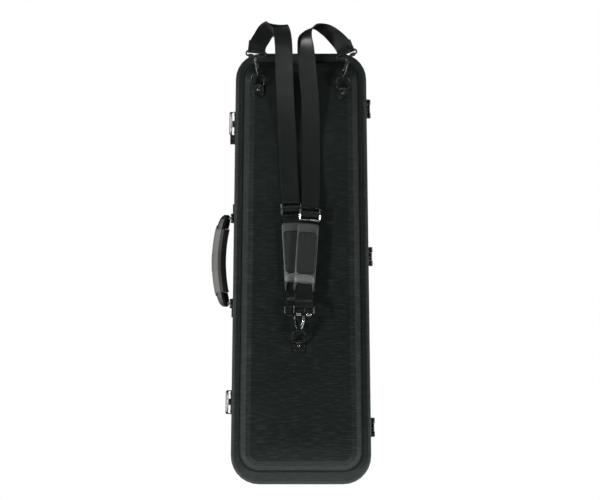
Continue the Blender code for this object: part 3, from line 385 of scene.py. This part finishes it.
own_finishes = {"lid_shell": "lid_shell", "ring_bracket_top_left": "ridged",
                "ring_bracket_top_right": "ridged", "ring_bracket_centre": "ridged"}
record_slots = {part["node"]: part["material_slot"] for part in frame["record"]["subparts"]}
for name, part in nodes.items():
    part.data.materials.clear()
    part.data.materials.append(finishes[own_finishes.get(name, record_slots[name])])


# Mesh helpers

def make_object(name, points, faces, finish, body, coordinates=None, sharp=35.0):
    """A new piece that rides on a body. Coordinates are one UV pair for each point."""
    mesh = bpy.data.meshes.new(name)
    mesh.from_pydata([tuple(point) for point in points], [], faces)
    if coordinates is not None:
        layer = mesh.uv_layers.new(name="UVMap")
        for loop in mesh.loops:
            layer.data[loop.index].uv = coordinates[loop.vertex_index]
    made = bpy.data.objects.new(name, mesh)
    bpy.context.collection.objects.link(made)
    mesh.materials.append(finishes[finish])
    face_out(mesh)
    mesh.shade_smooth()
    mesh.set_sharp_from_angle(angle=math.radians(sharp))
    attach(made, body)
    return made


def face_out(mesh):
    """Turns all faces of a closed skin outwards."""
    shape = bmesh.new()
    shape.from_mesh(mesh)
    bmesh.ops.recalc_face_normals(shape, faces=shape.faces)
    shape.to_mesh(mesh)
    shape.free()


def stack(loops, ring=False):
    """Joins loops of equal length into a skin, closed on itself or with both ends filled."""
    count = len(loops[0])
    points = [Vector(point) for loop in loops for point in loop]
    faces = []
    for row in range(len(loops) if ring else len(loops) - 1):
        low = row * count
        high = (row + 1) % len(loops) * count
        for index in range(count):
            after = (index + 1) % count
            faces.append((low + index, low + after, high + after, high + index))
    if not ring:
        faces.append(tuple(reversed(range(count))))
        faces.append(tuple(range(len(points) - count, len(points))))
    return points, faces


def join(pieces):
    """Several skins as one list of points and faces."""
    points, faces = [], []
    for more_points, more_faces in pieces:
        start = len(points)
        points += more_points
        faces += [tuple(start + index for index in face) for face in more_faces]
    return points, faces


def arc(centre_a, centre_b, radius_a, radius_b, start, end, steps):
    """Points on part of an ellipse, between two angles in degrees."""
    points = []
    for step in range(steps + 1):
        angle = math.radians(start + (end - start) * step / steps)
        points.append((centre_a + radius_a * math.cos(angle), centre_b + radius_b * math.sin(angle)))
    return points


def circle(centre, side, other, radius, sides):
    """Points round a centre, in the plane of two directions."""
    turns = [2 * math.pi * step / sides for step in range(sides)]
    return [centre + (side * math.cos(turn) + other * math.sin(turn)) * radius for turn in turns]


def tube(path, radius, sides=8, ring=False):
    """A round wire along a path, closed on itself if it is a ring."""
    points = [Vector(point) for point in path]
    last = len(points) - 1
    side = Vector((0.31, 0.87, 0.38))
    loops = []
    for index, point in enumerate(points):
        before = points[index - 1] if ring or index else point
        after = points[(index + 1) % len(points)] if ring or index < last else point
        along = (after - before).normalized()
        side = (side - along * side.dot(along)).normalized()
        other = along.cross(side)
        loops.append(circle(point, side, other, radius, sides))
    return stack(loops, ring)


def dome(centre, out, radius, rise, sides=14):
    """A low round head on a surface, such as a rivet or a screw."""
    out = Vector(out).normalized()
    side = out.orthogonal().normalized()
    other = out.cross(side)
    profile = ((1.0, 0.0), (1.0, 0.45), (0.82, 0.85), (0.4, 1.0))
    return stack([circle(Vector(centre) + out * rise * level, side, other, radius * share, sides)
                  for share, level in profile])


# Frames on the case, as in the solid model

def half_width_at(height):
    """Half the case's width at a height; the case is narrower at its top."""
    return bottom_half_width + (top_half_width - bottom_half_width) * height / case_length


def side_frame(side, height):
    """On a side wall: a points to the lid, b up the wall and c outwards."""
    taper = (bottom_half_width - top_half_width) / case_length
    sign = -1 if side == "left" else 1
    along = Vector((-sign * taper, 0, 1)).normalized()
    out = Vector((sign, 0, taper)).normalized()
    made = Matrix((Vector((0, 1, 0)), along, out)).transposed().to_4x4()
    made.translation = Vector((sign * half_width_at(height), depth_shift, height))
    return made


def strap_frame(centre, tilt):
    """A frame facing away from the case, turned in its plane by an angle in degrees."""
    turn = Matrix.Rotation(math.radians(-tilt), 4, "Y")
    facing = Matrix(((1, 0, 0), (0, 0, -1), (0, 1, 0))).to_4x4()
    x, y, z = centre
    return Matrix.Translation((x, y + depth_shift, z)) @ turn @ facing


# Straps

def slope_at(values, knots, index):
    """The curve's slope at one of the values that it runs through."""
    if index in (0, len(values) - 1):
        first = max(index - 1, 0)
        return (values[first + 1] - values[first]) / (knots[first + 1] - knots[first])
    before = knots[index] - knots[index - 1]
    after = knots[index + 1] - knots[index]
    rise = (values[index] - values[index - 1]) * after / before
    return (rise + (values[index + 1] - values[index]) * before / after) / (before + after)


def smooth(values, knots, steps):
    """Points on a smooth curve through all values, with a number of steps between two."""
    curve = []
    for index in range(len(values) - 1):
        span = knots[index + 1] - knots[index]
        leave = slope_at(values, knots, index) * span
        arrive = slope_at(values, knots, index + 1) * span
        for step in range(steps):
            share = step / steps
            ease = share * share * (3 - 2 * share)
            point = values[index] * (1 - ease) + values[index + 1] * ease
            point += leave * share * (1 - share) ** 2 - arrive * share ** 2 * (1 - share)
            curve.append(point)
    return curve + [values[-1]]


def wrap_stations(loop, rise):
    """Stations of a strap end wrapped round the far bar of a loop, from its tab to its front."""
    radius = loop_wire + seat_gap + strap_thickness / 2
    across = loop.to_3x3() @ Vector((1, 0, 0))
    bar = rise / 2
    behind = -radius + strap_thickness / 2
    stations = [(loop @ Vector((0, bar + strap_tab, behind)), across)]
    for c, b in arc(0.0, 0.0, radius, radius, 180, 360, 4):
        stations.append((loop @ Vector((0, bar + b, c)), across))
    stations.append((loop @ Vector((0, bar + strap_lead, radius)), across))
    return stations


def slider_stations(slider):
    """Stations of a strap woven through a slider: under, over and under its bars."""
    clear = slider_thickness / 2 + seat_gap + strap_thickness / 2
    across = slider.to_3x3() @ Vector((1, 0, 0))
    rows = ((1.3, -1), (0.66, -1), (0.2, 1), (-0.2, 1), (-0.66, -1), (-1.05, -1))
    return [(slider @ Vector((0, row * slider_half_height, side * clear)), across)
            for row, side in rows]


def ribbon_path(stations, steps):
    """Centre points, width directions and lengths along a strap."""
    places = [Vector(place) for place, across in stations]
    knots = [0.0]
    for before, after in zip(places, places[1:]):
        knots.append(knots[-1] + (after - before).length)
    path = smooth(places, knots, steps)
    sides = smooth([Vector(across) for place, across in stations], knots, steps)
    rows = []
    length = 0.0
    for index, point in enumerate(path):
        before = path[max(index - 1, 0)]
        after = path[min(index + 1, len(path) - 1)]
        if index:
            length += (point - path[index - 1]).length
        along = (after - before).normalized()
        side = (sides[index] - along * sides[index].dot(along)).normalized()
        rows.append((point, side, along.cross(side), length))
    return rows


def strap(name, stations, steps):
    """Webbing with rounded edges and a shallow hollow between its selvedges."""
    edge = strap_thickness / 2
    half = strap_width / 2
    profile = [(-half, 0.0), (-half + edge * 0.4, edge * 0.85), (-half + edge * 2, edge),
               (-half + edge * 4, edge * 0.8), (half - edge * 4, edge * 0.8), (half - edge * 2, edge),
               (half - edge * 0.4, edge * 0.85), (half, 0.0)]
    profile += [(a, -b) for a, b in reversed(profile[1:-1])]
    loops, coordinates = [], []
    for point, side, face, length in ribbon_path(stations, steps):
        loops.append([point + side * a + face * b for a, b in profile])
        coordinates += [(a, length) for a, b in profile]
    points, faces = stack(loops)
    made = make_object(name + "_webbing", points, faces, "strap", "base", coordinates, 50.0)
    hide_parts(name)


def stitches(name, ends, count):
    """A row of short stitches between two points on the straps."""
    radius = 0.00022
    share = 0.6
    start, end = Vector(ends[0]), Vector(ends[1])
    step = (end - start) / count
    pieces = []
    for index in range(count):
        first = start + step * (index + (1 - share) / 2)
        pieces.append(tube([first, first + step * share], radius, 5))
    points, faces = join(pieces)
    make_object(name, points, faces, "thread", "base")


def pad_outline():
    """The pad's outline in its own frame, with an arch between two legs at its lower end."""
    half = pad_half_width
    low = -pad_length / 2
    high = pad_length / 2 + pad_top_extra
    foot = low + 0.002
    leg_outside = half - 0.0004
    leg_inside = half - 0.0030
    arch_half_width = half - 0.0044
    arch_height = 0.0090
    arch_foot = low + 0.0105
    leg_top = low + 0.02
    shoulder = high - 0.012
    corner = 0.0045
    outline = [(-leg_outside, foot), (-leg_inside, foot)]
    outline += arc(0.0, arch_foot, arch_half_width, arch_height, 180, 0, 12)
    outline += [(leg_inside, foot), (leg_outside, foot), (half, leg_top), (half, shoulder)]
    outline += arc(half - corner, high - corner, corner, corner, 0, 90, 6)
    outline += arc(-half + corner, high - corner, corner, corner, 90, 180, 6)
    outline += [(-half, leg_top)]
    return outline


def insert_outline(inset):
    """The mesh insert's outline, with arched ends."""
    half = insert_half_width - inset
    low, high = insert_ends[0] + inset, insert_ends[1] - inset
    middle = (low + high) / 2
    corner = 0.005
    arch_height = 0.0032
    outline = arc(-half + corner, low + corner, corner, corner, 180, 262, 5)
    outline += arc(half - corner, low + corner, corner, corner, 278, 360, 5)
    outline += arc(half - corner, high - corner, corner, corner, 0, 82, 5)
    outline += arc(-half + corner, high - corner, corner, corner, 98, 180, 5)
    lifted = []
    for a, b in outline:
        bulge = arch_height * (1 - (a / half) ** 2)
        lifted.append((a, b + bulge if b > middle else b - bulge))
    return lifted


def build_pad(side):
    """A shoulder pad: soft frame, mesh insert, piping and the roll near its lower end."""
    place = strap_frame(pad_places[side], pad_tilts[side])
    outline = pad_outline()
    # A row is an inset and a level, as a share of the pad's thickness
    rows = ((0.0008, -0.5), (0.0, -0.32), (0.0, 0.26), (0.0003, 0.38), (0.0009, 0.46))
    loops = []
    for inset, level in rows:
        loops.append([(*draw_in(outline, index, inset), level * pad_thickness)
                      for index in range(len(outline))])
    points, faces = stack(loops)
    coordinates = [(point[0], point[1]) for point in points]
    body = make_object("pad_" + side, [place @ point for point in points], faces, "pad", "base",
                       coordinates, 60.0)
    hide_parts("shoulder_pad_" + side)
    levels = ((0.0, 0.30), (0.0, 0.49), (0.0022, 0.56), (0.0050, 0.60))
    loops = [[(a, b, level * pad_thickness) for a, b in insert_outline(inset)]
             for inset, level in levels]
    points, faces = stack(loops)
    coordinates = [(point[0], point[1]) for point in points]
    insert = make_object("pad_insert_" + side, [place @ point for point in points], faces, "mesh",
                         "base", coordinates, 60.0)
    # The piping is near-black leather, drawn where a dark gap line runs round the insert: painted
    # shade.
    piping_radius = 0.00085
    path = [place @ Vector((a, b, 0.50 * pad_thickness)) for a, b in insert_outline(-0.0004)]
    points, faces = tube(path, piping_radius, 7, ring=True)
    make_object("pad_piping_" + side, points, faces, "leather", "base")
    build_roll(side, place)


def build_roll(side, place):
    """The full roll across a pad between its mesh and its arch, in a lighter copy of the pad's leather
    as a painted highlight.
    """
    half = pad_half_width - 0.0008
    sag = 0.0040
    end_level = 0.36
    back_level = 0.30
    shares = (-1.0, -0.93, -0.75, -0.5, -0.25, 0.0, 0.25, 0.5, 0.75, 0.93, 1.0)
    # A row is a place along the pad and a level, as a share of the pad's thickness
    rows = ((-0.0268, 0.40), (-0.0276, 0.53), (-0.0300, 0.68), (-0.0335, 0.76), (-0.0370, 0.70),
            (-0.0395, 0.56), (-0.0402, 0.40))
    loops = []
    for b, level in rows:
        loop = []
        for share in shares:
            rise = end_level + (level - end_level) * (1 - share ** 6)
            loop.append((share * half, b - sag * share ** 2, rise * pad_thickness))
        loop += [(half * share, b - sag * share ** 2, back_level * pad_thickness)
                 for share in reversed(shares)]
        loops.append([place @ Vector(point) for point in loop])
    points, faces = stack(loops)
    roll = make_object("pad_roll_" + side, points, faces, "pad_painted_highlight", "base", sharp=80.0)


def draw_in(outline, index, inset):
    """A point of an outline moved inwards by an inset."""
    before = Vector(outline[index - 1])
    point = Vector(outline[index])
    after = Vector(outline[(index + 1) % len(outline)])
    first = (point - before).normalized()
    second = (after - point).normalized()
    along = (first + second).normalized() if (first + second).length > 1e-6 else first
    return point.x - along.y * inset, point.y + along.x * inset


def build_straps():
    """The webbing, pad, slider's frame and loops' sleeves of both straps."""
    for side in ("left", "right"):
        top_loop = strap_frame(top_loop_places[side], top_loop_tilts[side])
        bottom_loop = strap_frame(bottom_loop_places[side], bottom_loop_tilts[side])
        slider = strap_frame(slider_places[side], slider_tilts[side])
        pad = strap_frame(pad_places[side], pad_tilts[side])
        stations = wrap_stations(top_loop, top_loop_rise)
        stations += [((x, y + depth_shift, z), across) for (x, y, z), across
                     in zip(upper_strap_places[side], upper_strap_across[side])]
        stations += slider_stations(slider)
        across = pad.to_3x3() @ Vector((1, 0, 0))
        end = pad_length / 2 + strap_end_gap
        stations += [(pad @ Vector((0, b, 0)), across) for b in (end + strap_tuck, end)]
        strap("upper_strap_" + side, stations, 6)
        stations = wrap_stations(bottom_loop, bottom_loop_rise)
        stations += [(pad @ Vector((0, b, 0)), across)
                     for b in (-end - strap_tuck, -end, -pad_arch_top)]
        strap("lower_strap_" + side, stations, 6)
        build_pad(side)
        seam = -end - 0.0045
        half = strap_width / 2 - 0.002
        ends = [pad @ Vector((a, seam, strap_thickness / 2)) for a in (-half, half)]
        stitches("pad_seam_" + side, ends, 12)
        add_slider_trim(side, slider)
        # The two loops' rollers are alike; the right ones take the bright metal as a painted
        # highlight, the left ones the dark metal.
        finish = "bright_metal" if side == "right" else "dark_metal"
        add_rollers("loop_roller_" + side, bottom_loop, bottom_loop_rise, bottom_roller_radius, finish)
        add_rollers("top_loop_roller_" + side, top_loop, top_loop_rise, top_roller_radius,
                    "black_plastic")


def add_slider_trim(side, slider):
    """The rounded frame of a slider, in an upper and a lower half; the right slider's lower half is
    bright metal as a painted highlight, the rest dark metal.
    """
    half = slider_half_width - 0.0012
    end = slider_half_height - 0.0014
    corner = 0.0030
    start = 0.0006
    rise = 0.0012
    radius = 0.0019
    bow = [(-half, start)]
    bow += arc(-half + corner, end - corner, corner, corner, 180, 90, 4)
    bow += arc(half - corner, end - corner, corner, corner, 90, 0, 4)
    bow += [(half, start)]
    for row, sign in (("upper", 1), ("lower", -1)):
        path = [slider @ Vector((a, sign * b, rise)) for a, b in bow]
        points, faces = tube(path, radius, 12)
        # Painted highlight: the right slider's lower half takes the bright metal.
        painted_highlight_bar = side == "right" and row == "lower"
        finish = "bright_metal" if painted_highlight_bar else "dark_metal"
        make_object(f"slider_bow_{side}_{row}", points, faces, finish, "base")


def add_rollers(name, loop, rise, radius, finish):
    """Two sleeves on the lower bar of a loop, with the hook's swivel between them."""
    for place, ends in roller_ends.items():
        path = [loop @ Vector((a, -rise / 2, 0.0)) for a in ends]
        points, faces = tube(path, radius, 14)
        make_object(f"{name}_{place}", points, faces, finish, "base")


build_straps()


# Fittings

def back_frame(centre, turn):
    """A frame on the back panel: a to the right, b up and c outwards, turned about the upright."""
    x, y, z = centre
    facing = Matrix(((1, 0, 0), (0, 0, -1), (0, 1, 0))).to_4x4()
    return Matrix.Translation((x, y + depth_shift, z)) @ Matrix.Rotation(turn, 4, "Z") @ facing


def add_bracket_trim(place):
    """The screw of a ring bracket and the ridges pressed into its rounded end."""
    screw_place, screw_radius, screw_rise = -0.0078, 0.0026, 0.0013
    ridge_centre, ridge_radius = -0.0135, 0.00050
    plate = back_frame(bracket_places[place], bracket_turns[place])
    out = plate.to_3x3() @ Vector((0, 0, 1))
    top = seat_gap + bracket_plate
    points, faces = dome(plate @ Vector((0, screw_place, top)), out, screw_radius, screw_rise)
    make_object("bracket_screw_" + place, points, faces, "bright_metal", "base")
    pieces = []
    for radius in (0.0052, 0.0069, 0.0086):
        ridge = arc(0.0, ridge_centre, radius, radius, 195, 345, 12)
        pieces.append(tube([plate @ Vector((a, b, top)) for a, b in ridge], ridge_radius, 6))
    points, faces = join(pieces)
    make_object("bracket_ridges_" + place, points, faces, "ridged", "base")


def add_hook_body(name, start, end, radius, finish):
    """The thick snap body round a hook's shank, thinner towards its ends."""
    profile = ((0.0, 0.55), (0.08, 0.85), (0.25, 1.0), (0.65, 0.95), (0.90, 0.75), (1.0, 0.45))
    start, end = Vector(start), Vector(end)
    along = (end - start).normalized()
    side = along.orthogonal().normalized()
    other = along.cross(side)
    points, faces = stack([circle(start.lerp(end, share), side, other, radius * size, 12)
                           for share, size in profile])
    make_object(name, points, faces, finish, "base", sharp=60.0)


def add_rivets(name, plate, places, radius, body, finish):
    """Low round heads on a fitting; each place is a, b and the surface's height c."""
    rise = 0.0008
    out = plate.to_3x3() @ Vector((0, 0, 1))
    pieces = [dome(plate @ Vector(place), out, radius, rise, 12) for place in places]
    points, faces = join(pieces)
    make_object(name, points, faces, finish, body)


def add_fastener_heads():
    """The rivets of the latches, their keepers and the hinges."""
    wide, narrow = 0.0019, 0.0017
    latch_across, latch_up = -0.033, 0.016
    keeper_across, keeper_up = 0.0200, 0.009
    hinge_across, hinge_up = 0.0150, 0.0110
    top = seat_gap + fitting_plate
    for place, height in latch_heights.items():
        wall = side_frame("left", height)
        spots = [(latch_across, b, top) for b in (-latch_up, latch_up)]
        add_rivets("latch_rivets_" + place, wall, spots, wide, "base", "latch_chrome")
        spots = [(keeper_across, b, top) for b in (-keeper_up, keeper_up)]
        add_rivets("keeper_rivets_" + place, wall, spots, narrow, "lid", "latch_chrome")
    for place, height in hinge_heights.items():
        wall = side_frame("right", height)
        for body, sign in (("base", -1), ("lid", 1)):
            spots = [(sign * hinge_across, b, hinge_leaf_top) for b in (-hinge_up, 0.0, hinge_up)]
            add_rivets(f"hinge_rivets_{body}_{place}", wall, spots, wide, body, "dark_metal")


def handle_frame():
    """The handle's pivot on the left wall, turned to its rest."""
    turn = Matrix.Rotation(math.radians(handle_lean), 4, "Y")
    return side_frame("left", handle_height) @ Matrix.Translation(handle_pivot) @ turn


def grip_point(b, angle, thickness, width):
    """A point on a section of the grip; 90 degrees is its outer side."""
    reach = grip_reach - grip_bow * (b / grip_half_length) ** 2
    turn = math.radians(angle)
    bulge = (abs(math.cos(turn)) ** 4 + abs(math.sin(turn)) ** 4) ** -0.25
    return Vector((width * bulge * math.cos(turn), b, reach + thickness * bulge * math.sin(turn)))


def add_grip_trim():
    """Pointed tongues of the sleeve over the end caps, and ribs on its outer side."""
    sleeve_end, tongue_length, tongue_steps = 0.0560, 0.0125, 6
    tongue_thickness, tongue_width, thinning, skin = 0.0109, 0.0134, 0.0016, 0.0014
    tip_angle, added_angle = 8.0, 86.0
    rib_count, rib_pitch, first_rib, rib_radius = 9, 0.0035, 0.0095, 0.00075
    rib_thickness, rib_width = 0.0106, 0.0131
    handle = handle_frame()
    for place, sign in (("lower", -1), ("upper", 1)):
        loops = []
        for step in range(tongue_steps + 1):
            share = step / tongue_steps
            b = sign * (sleeve_end + tongue_length * share)
            half = added_angle * (1 - share) + tip_angle
            angles = [90 + half * (turn / 5 - 1) for turn in range(11)]
            thickness = tongue_thickness - thinning * share
            width = tongue_width - thinning * share
            outer = [grip_point(b, angle, thickness, width) for angle in angles]
            inner = [grip_point(b, angle, thickness - skin, width - skin)
                     for angle in reversed(angles)]
            loops.append([handle @ point for point in outer + inner])
        points, faces = stack(loops)
        make_object("grip_tongue_" + place, points, faces, "grip", "handle")
    ribs = []
    for step in range(rib_count):
        b = first_rib - rib_pitch * step
        path = [handle @ grip_point(b, angle, rib_thickness, rib_width)
                for angle in range(48, 133, 6)]
        ribs.append(tube(path, rib_radius, 7))
    points, faces = join(ribs)
    make_object("grip_ribs", points, faces, "grip", "handle")


for bracket_place in bracket_places:
    add_bracket_trim(bracket_place)
# The two lower hooks are alike; the right one's body takes the bright metal as a painted highlight,
# the left one's the dark metal.
hook_ends = {
    "top_left": ((-0.0812, -0.0518, 0.7760), (-0.0795, -0.0535, 0.7530), 0.0036, "ridged"),
    "top_right": ((0.0840, -0.0520, 0.7740), (0.0772, -0.0535, 0.7480), 0.0040, "ridged"),
    "bottom_left": ((-0.0106, -0.0508, 0.3040), (-0.0078, -0.0535, 0.2860), 0.0026, "dark_metal"),
    "bottom_right": ((0.0050, -0.0620, 0.3030), (0.0000, -0.0560, 0.2850), 0.0028, "bright_metal"),
}
for hook_place, (hook_start, hook_end, hook_size, hook_finish) in hook_ends.items():
    add_hook_body("hook_body_" + hook_place, hook_start, hook_end, hook_size, hook_finish)
add_fastener_heads()
add_grip_trim()


# Padded inside

def softened(name, finish, body, cell, passes):
    """A padded piece in the form of a soft solid, with its edges rounded off."""
    rough = bpy.data.objects.new(name + "_form", nodes[name].data.copy())
    rough.matrix_world = nodes[name].matrix_world
    bpy.context.collection.objects.link(rough)
    rough.modifiers.clear()
    remesh = rough.modifiers.new("remesh", "REMESH")
    remesh.mode = "VOXEL"
    remesh.voxel_size = cell
    bpy.context.view_layer.update()
    source = rough.evaluated_get(bpy.context.evaluated_depsgraph_get())
    mesh = bpy.data.meshes.new_from_object(source)
    mesh.transform(rough.matrix_world)
    bpy.data.objects.remove(rough)
    shape = bmesh.new()
    shape.from_mesh(mesh)
    bpy.data.meshes.remove(mesh)
    for step in range(passes):
        bmesh.ops.smooth_vert(shape, verts=shape.verts, factor=0.5,
                              use_axis_x=True, use_axis_y=True, use_axis_z=True)
    points = [vert.co.copy() for vert in shape.verts]
    faces = [tuple(vert.index for vert in face.verts) for face in shape.faces]
    shape.free()
    made = make_object(name + "_padding", points, faces, finish, body, sharp=180.0)
    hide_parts(name)


softened("cradle_floor", "plush", "base", 0.0032, 3)
softened("cradle_surround", "plush", "base", 0.0032, 4)
softened("neck_and_accessory_block", "plush", "base", 0.0030, 4)
softened("lid_lining", "lining", "lid", 0.0032, 4)
softened("bow_rest", "plush", "lid", 0.0016, 3)
softened("bow_tip_pocket", "lining", "lid", 0.0016, 3)
for lid_node in ("compartment_lid_left", "compartment_lid_right"):
    softened(lid_node, "plush", lid_node, 0.0014, 3)


# Stage, light and camera

def make_stage():
    """A pale floor with a glow of its own, which ends a little in front of the case."""
    mesh = bpy.data.meshes.new("floor")
    reach = 60.0
    front = 0.22
    below = 0.0006
    corners = [(-reach, -front, 0), (reach, -front, 0), (reach, reach, 0), (-reach, reach, 0)]
    mesh.from_pydata(corners, [], [(0, 1, 2, 3)])
    floor = bpy.data.objects.new("floor", mesh)
    bpy.context.collection.objects.link(floor)
    floor.location.z = -below
    made = Shader("floor_finish", (0.86, 0.86, 0.86), 0.9)
    made.main.inputs["Emission Color"].default_value = (1.0, 1.0, 1.0, 1.0)
    made.main.inputs["Emission Strength"].default_value = 0.97
    mesh.materials.append(made.material)


def make_world():
    """White where the camera sees it, and dim for what the case mirrors and is lit by."""
    world = bpy.data.worlds.new("studio")
    bpy.context.scene.world = world
    world.use_nodes = True
    tree = world.node_tree
    background = tree.nodes["Background"]
    rays = tree.nodes.new("ShaderNodeLightPath")
    mix = tree.nodes.new("ShaderNodeMix")
    mix.data_type = "RGBA"
    mix.inputs["A"].default_value = (0.045, 0.045, 0.045, 1.0)
    mix.inputs["B"].default_value = (1.0, 1.0, 1.0, 1.0)
    tree.links.new(rays.outputs["Is Camera Ray"], mix.inputs["Factor"])
    tree.links.new(mix.outputs["Result"], background.inputs["Color"])
    background.inputs["Strength"].default_value = 1.0


def area_light(name, place, target, size, power, spread=85):
    """A rectangular light that faces its target, with a spread in degrees."""
    data = bpy.data.lights.new(name, "AREA")
    data.shape = "RECTANGLE"
    data.size, data.size_y = size
    data.spread = math.radians(spread)
    data.energy = power
    lamp = bpy.data.objects.new(name, data)
    bpy.context.collection.objects.link(lamp)
    lamp.location = place
    lamp.rotation_mode = "QUATERNION"
    lamp.rotation_quaternion = (Vector(place) - Vector(target)).to_track_quat("Z", "Y")


def make_lights():
    """Tall soft boxes at both sides, one above and a faint narrow one from below."""
    body_aim = (0.0, 0.0, 0.36)
    area_light("left_softbox", (-1.85, -1.15, 0.45), body_aim, (0.25, 1.1), 9.0)
    area_light("right_softbox", (1.95, -1.15, 0.45), body_aim, (0.25, 1.1), 6.6)
    area_light("top_softbox", (-0.2, -1.1, 2.3), (0.0, 0.0, 0.8), (0.8, 0.25), 1.0)
    area_light("low_softbox", (0.0, -1.5, -0.06), (0.0, -0.05, 0.88), (0.5, 0.06), 0.07, 30)


def make_camera():
    """A long lens, level with the middle of the picture and square to the case's back."""
    data = bpy.data.cameras.new("camera")
    camera = bpy.data.objects.new("camera", data)
    bpy.context.collection.objects.link(camera)
    distance = 9.0
    data.sensor_width = 36.0
    data.lens = data.sensor_width * distance / (metres_per_pixel * picture_width)
    data.clip_end = 100.0
    aside = (picture_width / 2 - case_centre_column) * metres_per_pixel
    height = (ground_row - picture_height / 2) * metres_per_pixel
    camera.location = (aside, -distance, height)
    camera.rotation_euler = (math.radians(90), 0, 0)
    bpy.context.scene.camera = camera


bpy.context.scene.view_settings.view_transform = "Standard"
make_stage()
make_world()
make_lights()
make_camera()
